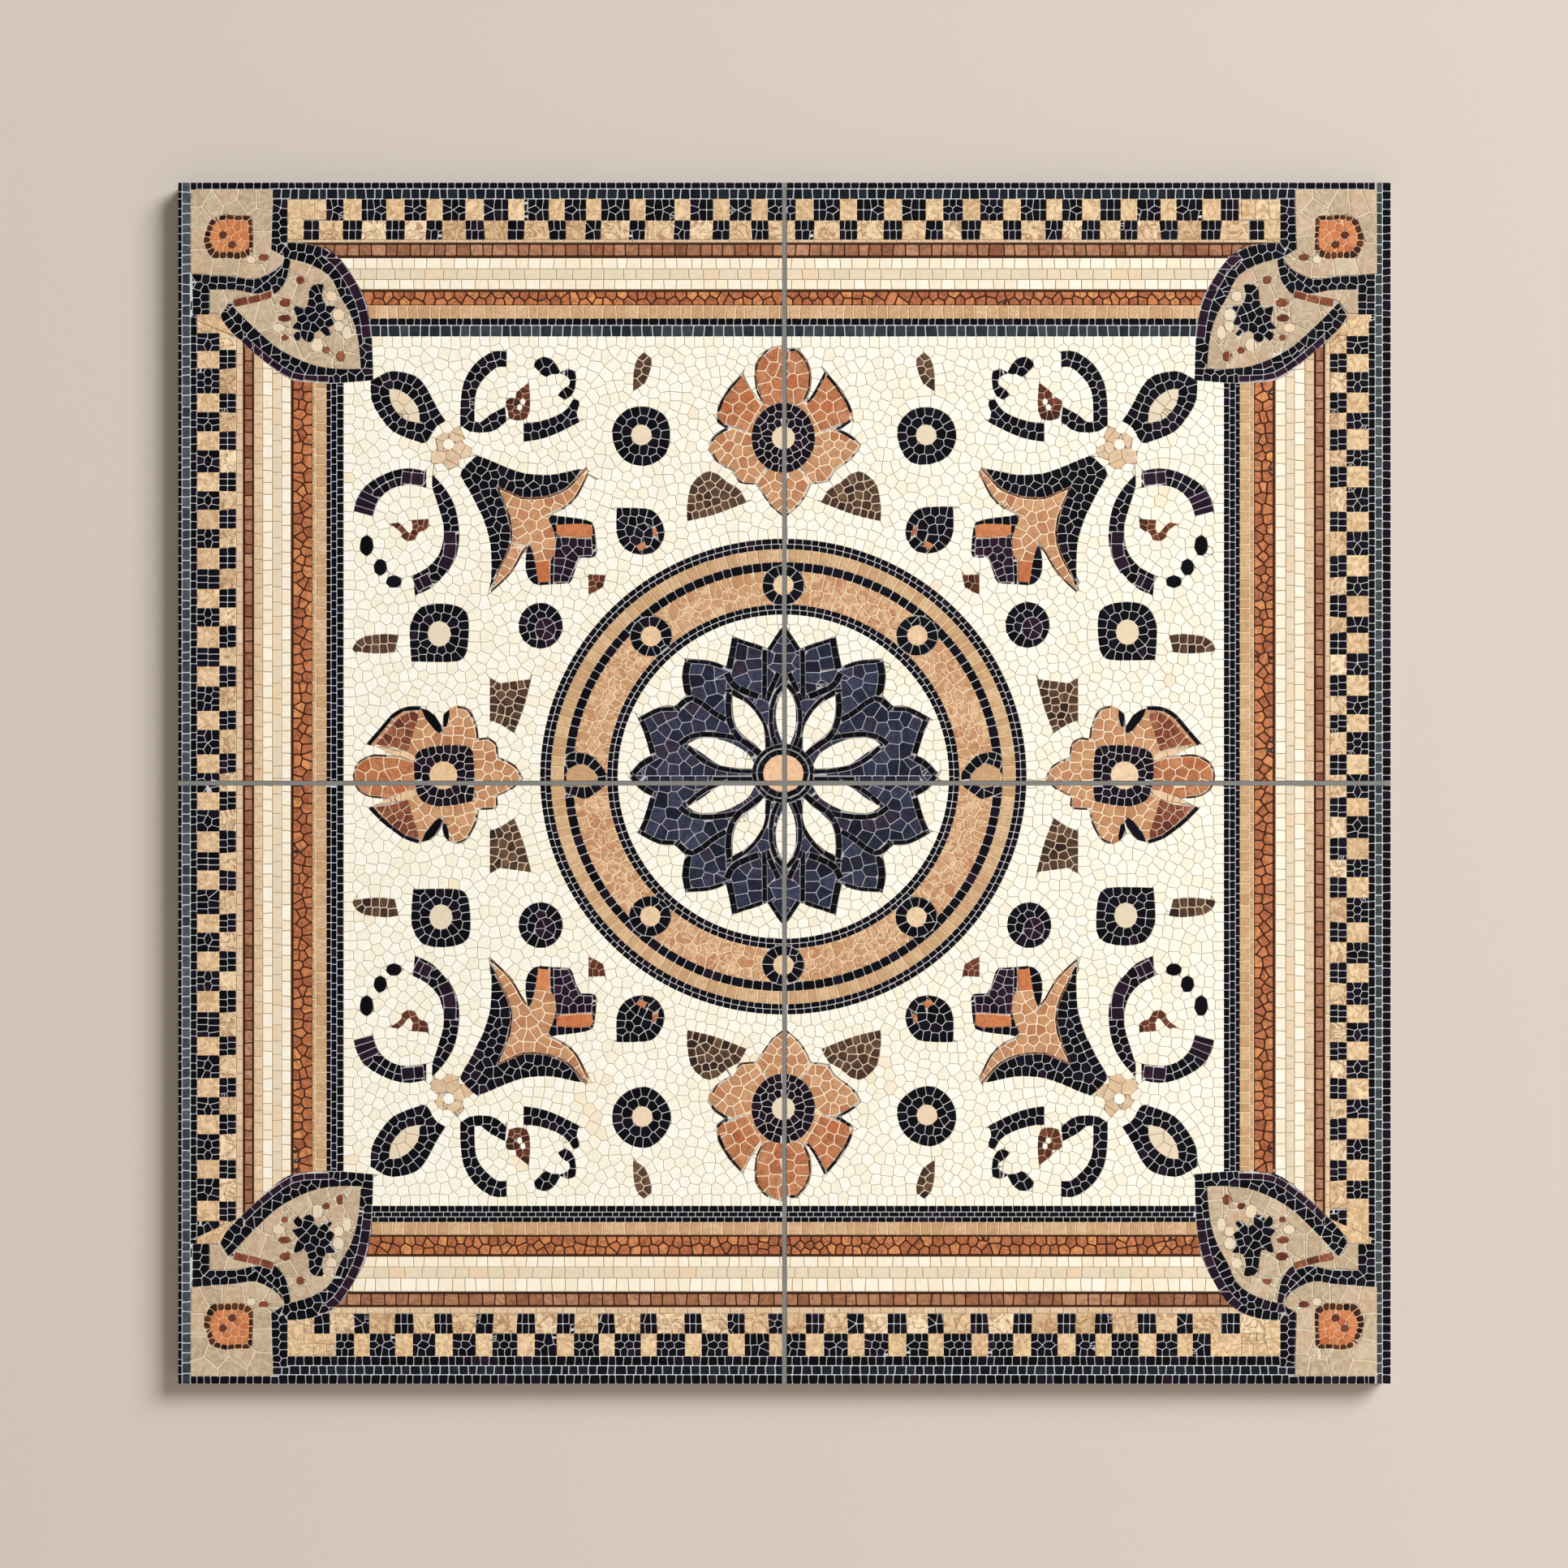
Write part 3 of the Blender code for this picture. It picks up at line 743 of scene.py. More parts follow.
PETAL_LINES = (
    ((879, 559), (885, 569.5), (901, 579)), ((908, 589), (914, 594.5), (929, 596)),
    ((931.5, 597), (940, 608.5), (951, 623.5), (966, 636.5)), ((967, 636.5), (982, 623.5), (991, 611.5), (998, 597)),
    ((1000, 595.5), (1012, 594.5), (1020, 592), (1026, 583)), ((1036, 574), (1048, 565), (1057.5, 553)),
)
TIP_LINES = (
    ((1017, 459), (1010, 473), (1002, 487), (995, 496)), ((938, 437), (947, 431.5)), ((973, 431), (980, 431)),
)
SIDE_FLOWER = (
    (435, 960), (437, 948), (443, 937), (459.6, 930), (480, 931), (497, 933, 1), (480, 924), (453, 918, 1), (466, 902),
    (480.6, 886), (492, 877), (504, 873), (517.4, 872.5), (533, 880), (544, 900, 1), (546, 890), (547.5, 879),
    (563, 870), (579, 875.4), (587.6, 896), (589.3, 910.5, 1), (600, 909), (611, 916), (614, 933, 1), (628, 939),
    (637, 946), (644.7, 959.6, 1), (633, 971), (620, 978), (612, 982), (611, 996), (590, 998, 1), (586, 1015.6),
    (575, 1035), (563, 1040), (549, 1033), (545.5, 1012, 1), (537, 1029.7), (516, 1037.4), (498, 1030), (473.6, 1012),
    (455, 994.6, 1), (480, 990), (498, 982, 1), (470, 984), (452, 981), (440, 973),
)
SIDE_LOBE = (
    (435.5, 960), (437.5, 948), (443.5, 937.5), (460, 931), (480, 931.5), (497, 933.5, 1), (512, 940, 1), (512, 972, 1),
    (498, 981.5, 1), (470, 983.5), (452, 980.5), (440.5, 972.5),
)
WEDGE = ((463, 920, 1), (497, 925), (512, 934), (508, 938), (485, 931, 1))
MAROON_PETAL = (
    (463, 917, 1), (477, 901), (489, 887.5), (504, 878), (515, 881), (509, 903), (502, 925.5, 1), (484, 920),
)
COMMAS = (
    ((519, 873), (527, 875), (536, 882), (543, 893), (545, 900), (542, 903.5), (536, 900), (530, 892.5),
     (524, 885)),
    ((553, 874.5), (546.4, 880.5), (545, 890.6), (546.4, 896.2), (550, 895.2), (552, 888), (553.5, 880.5)),
)
SIDE_EDGES = (
    ((454, 917), (467, 902), (481, 885.5), (492, 877), (505, 873), (518, 873)),
    ((456, 995), (473, 1012), (486, 1022), (499, 1031), (516, 1037)),
    ((563, 871.5), (577, 876), (586, 896), (588, 910)), ((588, 998), (584.5, 1015), (574, 1033), (563, 1038)),
    ((480, 932), (459, 931.5), (443.5, 938.5), (437, 949), (436, 960), (441, 972), (452, 980), (470, 982.5)),
    ((590, 911.5), (600, 910.5), (610, 917), (613, 932)), ((614, 934.5), (628, 940.5), (636.5, 947.5), (643, 959.6)),
    ((643, 960), (632, 970), (620, 976.5), (612.5, 980)), ((611.5, 983), (610, 994.5), (592, 996.5)),
)
SIDE_RING = (
    (-36, -8), (-30, -30), (0, -37), (28, -36), (36, -30, 1), (38, -12), (38, 22), (35, 32, 1), (10, 37),
    (-12, 37), (-30, 26),
)
SIDE_MIDDLE = 955.5
LOWER_RISE = 6
print(len(TOP_FLOWER), "and", len(SIDE_FLOWER), "points in the flowers")

# %% [markdown]
# A flower is built like a paper cut: the pale petals first, the darker ones on them, then the thin lines along
# the edges, and the ring and its light middle last.

# %% Flowers
for down in (1, -1):
    def flower(points, side=1):
        """The points on the upper or the lower flower."""
        rise = 0 if down > 0 else LOWER_RISE
        return mirrored([(x, y + rise, *sharp) for x, y, *sharp in points], side, down)

    field("apricot", smooth(flower(TOP_FLOWER)))
    field("clay", smooth(flower(CROWN_PETAL)))
    for side in (1, -1):
        field("clay", smooth(flower(WING_PETAL, side)))
        for path in LIME_LINES:
            lay_line("lime", flower(path, side), 2.4, 9)
    for kind, paths, width, length in (
        ("ink", FLOWER_EDGES, 3.6, 20), ("coffee", CROWN_LINES, 2.4, 16), ("brown", PETAL_LINES, 2.2, 14),
        ("ink", TIP_LINES, 3.2, 18),
    ):
        for path in paths:
            lay_line(kind, flower(path), width, length)
    at = flower(((965, 539.5),))[0]
    field("jet", ring_line(at, 39, 43, 40))
    lay_stone("dove", ring_line(at, 14.5, 14.5, 14))
for across in (1, -1):
    field("apricot", smooth(mirrored(SIDE_FLOWER, across, 1)))
    field("clay", smooth(mirrored(SIDE_LOBE, across, 1)))
    for down in (1, -1):
        field("eye", smooth(mirrored(WEDGE, across, down)), calm=True)
        field("maroon", smooth(mirrored(MAROON_PETAL, across, down, SIDE_MIDDLE)))
        for comma in COMMAS:
            lay_stone("ink", mirrored(comma, across, down, SIDE_MIDDLE))
    for kind, paths, width, length in (("ink", SIDE_EDGES[:2], 5.0, 20), ("brown", SIDE_EDGES[2:], 2.2, 14)):
        for path in paths:
            lay_line(kind, mirrored(path, across, 1), width, length)
    at = mirrored(((546, SIDE_MIDDLE),), across, 1)[0]
    field("jet", smooth(set_at(SIDE_RING, *at, across, 1)))
    lay_stone("eye", ring_line(at, 17.5, 17.5, 14))
print(len(fields) - 1, "fields with the flowers")

# %% [markdown]
# The medallion is a set of rings, a little wider than tall. From outside: a double row of black, a tan row cut
# across, a row of black, the terracotta ring and a double row of black again. Eight roundels sit on the ring.
# The roundels at the left and right are open towards the tan row.

# %% Medallion rings
HUB = (965.0, 957.0)
ACROSS, UP = 299.5, 293.0
# kind, outer and inner edge as a share of the radii, number of stones; none in a ring of scattered stones
RINGS = (
    ("black", 1.0, 0.9785, 186), ("black", 0.9785, 0.957, 182), ("tan", 0.957, 0.902, 138),
    ("black", 0.902, 0.866, 132), ("peach", 0.866, 0.724, 0), ("black", 0.724, 0.703, 132),
    ("black", 0.703, 0.682, 128), ("cream", 0.682, 0, 0),
)
ROUNDELS = ((965, 721), (1130, 783), (1212, 954), (1129, 1130), (965, 1189), (801, 1129), (720, 953), (802, 784))
ARCH = (
    (700, 950, 1), (697, 934), (705, 927), (718, 928), (729, 932), (739, 942), (746.5, 953), (745.5, 967), (735, 976),
    (722, 984), (709, 981), (697, 976), (698, 968, 1), (708, 968),
)
EYE = (
    (697.5, 953, 1), (704, 945.5), (716, 941), (727, 946), (735.5, 955), (737.5, 960), (732.5, 966), (722, 970),
    (708, 969), (698, 965, 1),
)
for kind, outer, inner, count in RINGS:
    number = field(kind, ring_line(HUB, ACROSS * outer, UP * outer, 160), rows=count > 0)
    if count:
        lay_ring(number, HUB, ACROSS, UP, inner, outer, count)
for at in ROUNDELS:
    if abs(at[1] - MIRROR_Y) > 10:
        field("black", ring_line(at, 25.5, 24.5, 32))
        lay_stone("eye", ring_line(at, 12.8, 12.8, 12))
for across in (1, -1):
    field("black", smooth(mirrored(ARCH, across, 1)))
    lay_stone("tan", smooth(mirrored(EYE, across, 1))[::3])
print(len(fields) - 1, "fields with the rings")

# %% [markdown]
# In the middle grows the rosette: sixteen pointed petals of dark blue stone with black edges, ten slender
# cream petals over them, dark stems between, and a peach-coloured disc in a black ring.

# %% Rosette
HEART = (965.0, 953.0)
CROWN = (
    (965.8, 771, 1), (972, 778), (979, 789), (986, 799.5, 1), (1000, 793.5), (1015, 789.5), (1029, 783, 1), (1032, 800),
    (1037.5, 823, 1), (1046, 817.5), (1062, 813.5), (1087, 811.5, 1), (1091, 830), (1090, 845), (1087.5, 857, 1),
    (1099, 870.5, 1), (1112, 869.5), (1128, 875), (1146, 885, 1), (1137, 903), (1130, 917), (1125, 930, 1), (1138, 935),
    (1149, 946), (1156, 955.8, 1), (965.8, 955.8, 1),
)
# The dark bands of one quarter: path, width, length of a stone
BANDS = (
    (((966, 775), (974, 786), (984, 801)), 5.5, 13), (((989, 801), (989.5, 862)), 6, 15),
    (((991, 800), (1008, 794), (1026, 788)), 5, 13), (((1026, 786), (1029, 804), (1033, 824)), 8, 13),
    (((1036, 829), (1028, 843), (1014, 851.5), (997, 858)), 8, 14),
    (((1041, 822), (1060, 816.5), (1085, 815)), 4.5, 16), (((1084, 816), (1086.5, 834), (1083, 857)), 8.5, 14),
    (((1082, 859), (1098, 874)), 9, 10), (((1096, 871), (1082, 861), (1068, 866), (1052, 878), (1037, 887)), 7, 11),
    (((1101, 873.5), (1120, 875), (1142, 886)), 5.5, 13), (((1141, 888), (1134, 905), (1127, 928)), 7, 15),
    (((1127, 934), (1142, 943), (1153, 955)), 7.5, 12), (((972, 829), (980, 846), (987, 864)), 6.5, 13),
    (((1009, 916.5), (1022, 910.5), (1040, 906.5), (1065, 904.8), (1082, 908.5), (1094, 917)), 6.5, 14),
    (((1084, 921), (1069, 934), (1050, 944.5), (1028, 949), (1003, 950.5)), 6, 16),
    (((1033, 849), (1034, 872), (1031, 892), (1022, 908), (1008, 918.5), (991, 932)), 7.5, 18),
    (((1030, 852), (1013, 862.5), (999, 877), (991, 892), (987, 905), (984, 926)), 6.5, 18),
)
LENSES = (
    (
        (1029, 858, 1), (1029, 872), (1027, 887), (1022, 899), (1010, 911), (1000, 918), (990, 930, 1), (988.5, 912),
        (990, 898), (996, 885), (1005, 873), (1016, 863.5),
    ),
    (
        (1001, 944, 1), (1009, 930), (1022, 920.5), (1040, 912.5), (1060, 909.5), (1074, 911), (1084.5, 917.5, 1),
        (1070, 926), (1056, 936), (1042, 944), (1022, 947), (1006, 948),
    ),
)
TOP_LENS = (
    (968, 845, 1), (975, 857), (980, 872), (980.5, 888), (978, 905), (969.5, 926, 1), (960, 905), (956, 888),
    (956.5, 872), (961, 857),
)
LENS_LINE = ((968.5, 842), (978, 853), (984, 868), (986, 885), (984, 905), (977, 923))
for across, down in QUARTERS:
    field("navy", smooth(mirrored(CROWN, across, down)))
for across, down in QUARTERS:
    for path, width, length in BANDS:
        lay_line("ink", mirrored(path, across, down), width, length)
for across in (1, -1):
    lay_line("ink", mirrored([(x, 959.5) for x in range(1002, 1056, SMOOTH_STEP)], across, 1), 5, 18)
for down in (1, -1):
    for side in (1, -1):
        path = [(968 + side * (x - 968), y) for x, y in LENS_LINE]
        lay_line("ink", mirrored(path, 1, down), 5.5, 16)
    field("cream", smooth(mirrored(TOP_LENS, 1, down)))
for across, down in QUARTERS:
    for lens in LENSES:
        field("cream", smooth(mirrored(lens, across, down)))
for share, inner, count in ((1.0, 0.865, 20), (0.83, 0.655, 14)):
    number = field("ink", ring_line(HEART, 38.5 * share, 36.5 * share, 60), rows=True)
    lay_ring(number, HEART, 38.5, 36.5, inner, share, count)
lay_stone("blush", ring_line(HEART, 25, 22.8, 28))
print(len(fields) - 1, "fields in the whole design,", len(laid), "stones in rows")

# %% [markdown]
# Now the fields are split into stones. A cell of an irregular field is the part of it that lies nearest to one
# centre, which is how a mosaic maker fills a ground: stones of one size, each trimmed to its neighbours. First
# the outlines are looked up on the chart: where two fields meet, a spot is kept with both their numbers.

# %% Edges between fields
OUTLINE_STEP = 2.4


def along(line):
    """Spots along a closed line, each with the direction across it."""
    spots = []
    for (x0, y0), (x1, y1) in sides(line):
        size = math.hypot(x1 - x0, y1 - y0)
        if size < 1e-6:
            continue
        count = max(1, round(size / OUTLINE_STEP))
        for k in range(count):
            t = (k + 0.5) / count
            spots.append((x0 + (x1 - x0) * t, y0 + (y1 - y0) * t, (y1 - y0) / size, -(x1 - x0) / size))
    return spots


edges = []
for painted in fields[2:]:
    for x, y, nx, ny in along(painted["line"]):
        here, there = field_at(x - 0.8 * nx, y - 0.8 * ny), field_at(x + 0.8 * nx, y + 0.8 * ny)
        if here != there:
            edges.append((x, y, nx, ny, here, there))
edge_tree = kdtree.KDTree(len(edges))
for k, edge in enumerate(edges):
    edge_tree.insert((edge[0], edge[1], 0), k)
edge_tree.balance()
print(len(edges), "spots on the outlines")

# %% [markdown]
# The first centres follow the outlines on both sides, half a stone away, so the stones line up with them as in
# good ancient work. The rest are strewn at random wherever there is room. The rust and sand fields have no
# followers, because their stones lie quite without order.

# %% Centres of the scattered stones
BIN = 8.0
FOLLOW, FOLLOW_GAP, STREW_GAP = 0.48, 0.86, 0.80
STREW_STEP, STREW_LOOSE = 3.5, 1.7
UNORDERED = ("rust", "sand")
bins = {}
centres = []


def free(x, y, number, gap):
    """Whether no other centre of the same field is nearer than the gap."""
    reach = int(gap // BIN) + 1
    column, row = int(x // BIN), int(y // BIN)
    for i in range(column - reach, column + reach + 1):
        for j in range(row - reach, row + reach + 1):
            for k in bins.get((i, j), ()):
                other = centres[k]
                if other[2] == number and (other[0] - x) ** 2 + (other[1] - y) ** 2 < gap * gap:
                    return False
    return True


def add_centre(x, y, number):
    bins.setdefault((int(x // BIN), int(y // BIN)), []).append(len(centres))
    centres.append((x, y, number))


for x, y, nx, ny, here, there in edges:
    for number, way in ((here, -1), (there, 1)):
        if number and not fields[number]["rows"] and fields[number]["kind"] not in UNORDERED:
            spacing = KINDS[fields[number]["kind"]][SPACING]
            sx, sy = x + way * nx * spacing * FOLLOW, y + way * ny * spacing * FOLLOW
            if field_at(sx, sy) == number and free(sx, sy, number, spacing * FOLLOW_GAP):
                add_centre(sx, sy, number)
followers = len(centres)


def loose():
    return rng.uniform(-STREW_LOOSE, STREW_LOOSE)


spots = [
    (LEFT + i * STREW_STEP + loose(), TOP + j * STREW_STEP + loose())
    for i in range(int((RIGHT - LEFT) / STREW_STEP) + 1)
    for j in range(int((BOTTOM - TOP) / STREW_STEP) + 1)
]
rng.shuffle(spots)
for x, y in spots:
    number = field_at(x, y)
    if number and not fields[number]["rows"]:
        if free(x, y, number, KINDS[fields[number]["kind"]][SPACING] * STREW_GAP):
            add_centre(x, y, number)
print(followers, "centres along outlines,", len(centres) - followers, "inside fields")

# %% [markdown]
# A stone starts as a rough octagon round its centre. It is cut along the line halfway to each neighbour, and
# then along the outline of its field. Cutting a convex shape by straight lines keeps it convex, so every stone
# can later be one plain face.

# %% Cutting tools
def cut(shape, x, y, nx, ny):
    """The part of a convex shape on the side of a line that its normal points to."""
    kept = []
    px, py = shape[-1]
    before = (px - x) * nx + (py - y) * ny
    for qx, qy in shape:
        now = (qx - x) * nx + (qy - y) * ny
        if (before >= 0) != (now >= 0):
            t = before / (before - now)
            kept.append((px + (qx - px) * t, py + (qy - py) * t))
        if now >= 0:
            kept.append((qx, qy))
        px, py, before = qx, qy, now
    return kept


def area_of(shape):
    return sum(a[0] * b[1] - b[0] * a[1] for a, b in sides(shape)) / 2


def middle_of(shape):
    total = area_of(shape)
    x = y = 0.0
    for (ax, ay), (bx, by) in sides(shape):
        w = ax * by - bx * ay
        x += (ax + bx) * w
        y += (ay + by) * w
    return x / (6 * total), y / (6 * total)


def holds(shape, x, y, margin):
    """Whether a spot lies in a counter-clockwise convex shape, at least a margin inside."""
    for (ax, ay), (bx, by) in sides(shape):
        ex, ey = bx - ax, by - ay
        if ex * (y - ay) - ey * (x - ax) < margin * math.hypot(ex, ey):
            return False
    return True


print("cutting a square in half leaves", area_of(cut([(0, 0), (2, 0), (2, 2), (0, 2)], 1, 0, 1, 0)), "of 4")

# %% [markdown]
# An outline is curved, so a cell is trimmed to it in several straight cuts. The known spots on the outline come
# first. Then short walks from the middle outwards look for places on the chart where the field still ends
# inside the cell, and each gets a cut of its own.

# %% Trimming to a field
WAYS = np.array([(math.cos(math.pi * k / 12), math.sin(math.pi * k / 12)) for k in range(24)])
WALK_STEP = 0.6
REACH = np.arange(0.8, 34.0, WALK_STEP)
# A round window on the chart, which tells the direction of the outline unless too few squares differ
WINDOW = 5
UNCLEAR = 20
DISC_X, DISC_Y = np.meshgrid(np.arange(-WINDOW, WINDOW + 1), np.arange(-WINDOW, WINDOW + 1))
DISC_IN = DISC_X**2 + DISC_Y**2 <= 27


def keep_inside(shape, x, y, number, board=chart):
    """Walks outwards from the middle on the chart and cuts the shape wherever its field ends."""
    corners = np.array(shape)
    side = np.roll(corners, -1, 0) - corners
    normal = np.stack((side[:, 1], -side[:, 0]), 1)
    away = ((corners - (x, y)) * normal).sum(1)
    speed = WAYS @ normal.T
    far = np.where(speed > 1e-9, away / np.maximum(speed, 1e-9), 1e9).min(1)
    rows = ((y + WAYS[:, 1:] * REACH) * FINE).astype(int)
    columns = ((x + WAYS[:, :1] * REACH) * FINE).astype(int)
    strange = (board[rows, columns] != number) & (REACH < far[:, None] - 0.35)
    for k in np.flatnonzero(strange.any(1)):
        walk = REACH[strange[k].argmax()] - WALK_STEP / 2
        px, py = x + WAYS[k, 0] * walk, y + WAYS[k, 1] * walk
        if not holds(shape, px, py, 0.2):
            continue
        row, column = int(py * FINE), int(px * FINE)
        window = board[row - WINDOW : row + WINDOW + 1, column - WINDOW : column + WINDOW + 1]
        own = (window == number) & DISC_IN
        nx, ny = float((own * DISC_X).sum()), float((own * DISC_Y).sum())
        size = math.hypot(nx, ny)
        if size < UNCLEAR or ((x - px) * nx + (y - py) * ny) / size < 0.5:
            nx, ny, size = -WAYS[k, 0], -WAYS[k, 1], 1.0
        shape = cut(shape, px, py, nx / size, ny / size)
        if len(shape) < 3:
            return None
    return shape


def trim_to_field(shape, x, y, number, rough=False):
    """Cuts a shape back to the outline of the field that its middle lies in, nearest outline spot first."""
    reach = max(math.dist((x, y), p) for p in shape)
    for spot, k, _ in sorted(edge_tree.find_range((x, y, 0), reach), key=lambda hit: hit[2]):
        ex, ey, nx, ny, here, there = edges[k]
        way = -1 if here == number else 1 if there == number else 0
        if not way or not holds(shape, ex, ey, 0.3):
            continue
        if ((x - ex) * nx + (y - ey) * ny) * way < 0.6:
            away = math.dist((x, y), (ex, ey)) or 1.0
            nx, ny, way = (x - ex) / away, (y - ey) / away, 1
        shape = cut(shape, ex, ey, way * nx, way * ny)
        if len(shape) < 3:
            return None
    return shape if rough else keep_inside(shape, x, y, number)


print(len(WAYS), "directions to walk in")

# %% [markdown]
# Each centre moves twice to the middle of its cell, which evens out the sizes, and then the cells are cut for
# good. The calmer fields move less. The stones of the rows are only trimmed to their own field.

# %% Cutting the stones
WIDEST, NEIGHBOURS = 1.25, 2.3
PULL, CALM_PULL = 0.75, 0.5


def cell(k, tree, rough=False):
    """The stone round one centre: nearer to it than to the next centres of its field, inside the field."""
    x, y, number = centres[k]
    spacing = KINDS[fields[number]["kind"]][SPACING]
    size = spacing * WIDEST
    shape = [(x + size * math.cos(a), y + size * math.sin(a)) for a in [math.pi * s / 4 for s in range(8)]]
    near = tree.find_range((x, y, 0), spacing * NEIGHBOURS)
    for spot, other, distance in sorted(near, key=lambda hit: hit[2]):
        if other == k or centres[other][2] != number:
            continue
        ox, oy = centres[other][0], centres[other][1]
        shape = cut(shape, (x + ox) / 2, (y + oy) / 2, (x - ox) / distance, (y - oy) / distance)
        if len(shape) < 3:
            return None
    return trim_to_field(shape, x, y, number, rough)


def tree_of_centres():
    tree = kdtree.KDTree(len(centres))
    for k, (x, y, _) in enumerate(centres):
        tree.insert((x, y, 0), k)
    tree.balance()
    return tree


for _ in range(2):
    tree = tree_of_centres()
    moved = []
    for k, (x, y, number) in enumerate(centres):
        shape = cell(k, tree, rough=True)
        if shape and area_of(shape) > 1:
            mx, my = middle_of(shape)
            pull = CALM_PULL if fields[number]["calm"] else PULL
            nx, ny = x + (mx - x) * pull, y + (my - y) * pull
            x, y = (nx, ny) if field_at(nx, ny) == number else (x, y)
        moved.append((x, y, number))
    centres = moved
tree = tree_of_centres()
cells = []
for k, (x, y, number) in enumerate(centres):
    shape = cell(k, tree)
    if shape:
        cells.append((number, shape))
scattered = len(cells)

for number, shape in laid:
    shape = shape if area_of(shape) > 0 else shape[::-1]
    mx, my = middle_of(shape)
    inside = []
    for p in [(mx, my)] + [(mx + (p[0] - mx) * s, my + (p[1] - my) * s) for p in shape for s in (0.45, 0.8)]:
        if field_at(*p) == number:
            inside.append(p)
    if len(inside) * 4 < len(shape) * 2:
        continue
    x, y = sum(p[0] for p in inside) / len(inside), sum(p[1] for p in inside) / len(inside)
    if field_at(x, y) == number:
        shape = trim_to_field(shape, x, y, number)
        if shape:
            cells.append((number, shape))
print(scattered, "scattered stones and", len(cells) - scattered, "in rows")

# %% [markdown]
# Between the rows and the scattered stones small gaps are left, at the ends of lines and in sharp corners. A
# maker fills them with slips, so each gap that is wide enough gets a small stone of its field's colour.

# %% Slips
SLIP = 7
NEAR = 8
bare = chart.copy()
for number, shape in cells:
    paint(bare, shape, 0)
wide = bare > 0
for i in range(-2, 3):
    for j in range(-2, 3):
        wide &= np.roll(bare, (i, j), (0, 1)) == bare
first, last = int((TOP + 1) * FINE), int((BOTTOM - 1) * FINE)
spots = np.argwhere(wide[first:last, int((LEFT + 1) * FINE) : int((RIGHT - 1) * FINE)])
slips = 0
for i, j in spots:
    i, j = i + first, j + int((LEFT + 1) * FINE)
    number = int(bare[i, j])
    if number:
        x, y = (j + 0.5) / FINE, (i + 0.5) / FINE
        near = bare[i - NEAR : i + NEAR + 1, j - NEAR : j + NEAR + 1] == number
        down, across = np.argwhere(near).mean(0) - NEAR
        if bare[int(i + down), int(j + across)] == number:
            x, y = x + across / FINE, y + down / FINE
        shape = keep_inside(ring_line((x, y), SLIP, SLIP, 8)[::-1], x, y, number, bare)
        if shape and area_of(shape) > 2:
            cells.append((number, shape))
            paint(bare, shape, 0)
            slips += 1
        else:
            bare[i - 2 : i + 3, j - 2 : j + 3] = 0
print(slips, "slips")

# %% [markdown]
# A stone is smaller than its cell by the joint, and its corners are worn. Where the colour changes sharply the
# joint is only a hair wide, so that motifs keep a crisp edge against the ground.

# %% Joints and worn corners
SEAM_INWARD = 0.12
LOOK_ASIDE = 1.1
CORE = 0.75
TOO_SHORT = 0.35


def beside(kind, x, y):
    """How far a side moves in from its cell, by what lies at a spot beyond it."""
    other = fields[field_at(x, y)]["kind"] if LEFT < x < RIGHT and TOP < y < BOTTOM else "edge"
    if other == "edge":
        return 0.0
    if (kind in DARK) != (other in DARK) or (kind in GROUND) != (other in GROUND):
        return SEAM_INWARD
    return KINDS[kind][JOINT] / 2


def moved_in(shape, inward_at):
    """The shape with each side moved in by what inward_at gives for the side's middle and normal."""
    core = list(shape)
    for (ax, ay), (bx, by) in sides(shape):
        size = math.hypot(bx - ax, by - ay)
        if size < 1e-6:
            continue
        nx, ny = -(by - ay) / size, (bx - ax) / size
        inward = inward_at((ax + bx) / 2, (ay + by) / 2, nx, ny)
        core = cut(core, ax + nx * inward, ay + ny * inward, nx, ny)
        if len(core) < 3:
            return None
    return core


def shrink(shape, number):
    """The stone inside its cell: every side moved in by half a joint."""
    kind = fields[number]["kind"]
    return moved_in(shape, lambda x, y, nx, ny: beside(kind, x - nx * LOOK_ASIDE, y - ny * LOOK_ASIDE))


def thick_enough(shape):
    """Whether the stone is wide enough to hold its worn edge."""
    return moved_in(shape, lambda *_: CORE) is not None


def worn(shape, share):
    """Each corner cut off by a share of its shorter edge."""
    done = []
    for before, here, after in zip(shape[-1:] + shape[:-1], shape, shape[1:] + shape[:1]):
        a, b = math.dist(before, here), math.dist(here, after)
        take = share * min(a, b, 12)
        if take < 0.5:
            done.append(here)
            continue
        for other, away in ((before, a), (after, b)):
            done.append(tuple(h + (o - h) * take / away for h, o in zip(here, other)))
    return done


def tidy(shape):
    """Without corners that fall together."""
    kept = [p for p, q in sides(shape) if math.dist(p, q) > TOO_SHORT]
    return kept if len(kept) > 2 else None


print("a joint between black stones is", round(KINDS["black"][JOINT] * UNIT * 1000, 2), "mm")

# %% [markdown]
# Where a cell crosses the gap between boards it is cut in two, which is how the real panel was sawn apart. Each
# stone gets a tone that its material turns into a colour, and the cell itself becomes a patch of grout just
# below the face. In the cream ground and the black rows the lighter stones gather in loose clouds.

# %% Stones per board
GAP_WIDTH = 0.0048
GAP = GAP_WIDTH / UNIT / 2
BOARDS = {
    "top_left": (LEFT, TOP, MIDDLE_X - GAP, MIDDLE_Y - GAP),
    "top_right": (MIDDLE_X + GAP, TOP, RIGHT, MIDDLE_Y - GAP),
    "bottom_left": (LEFT, MIDDLE_Y + GAP, MIDDLE_X - GAP, BOTTOM),
    "bottom_right": (MIDDLE_X + GAP, MIDDLE_Y + GAP, RIGHT, BOTTOM),
}

CLOUD_SIZE = 70


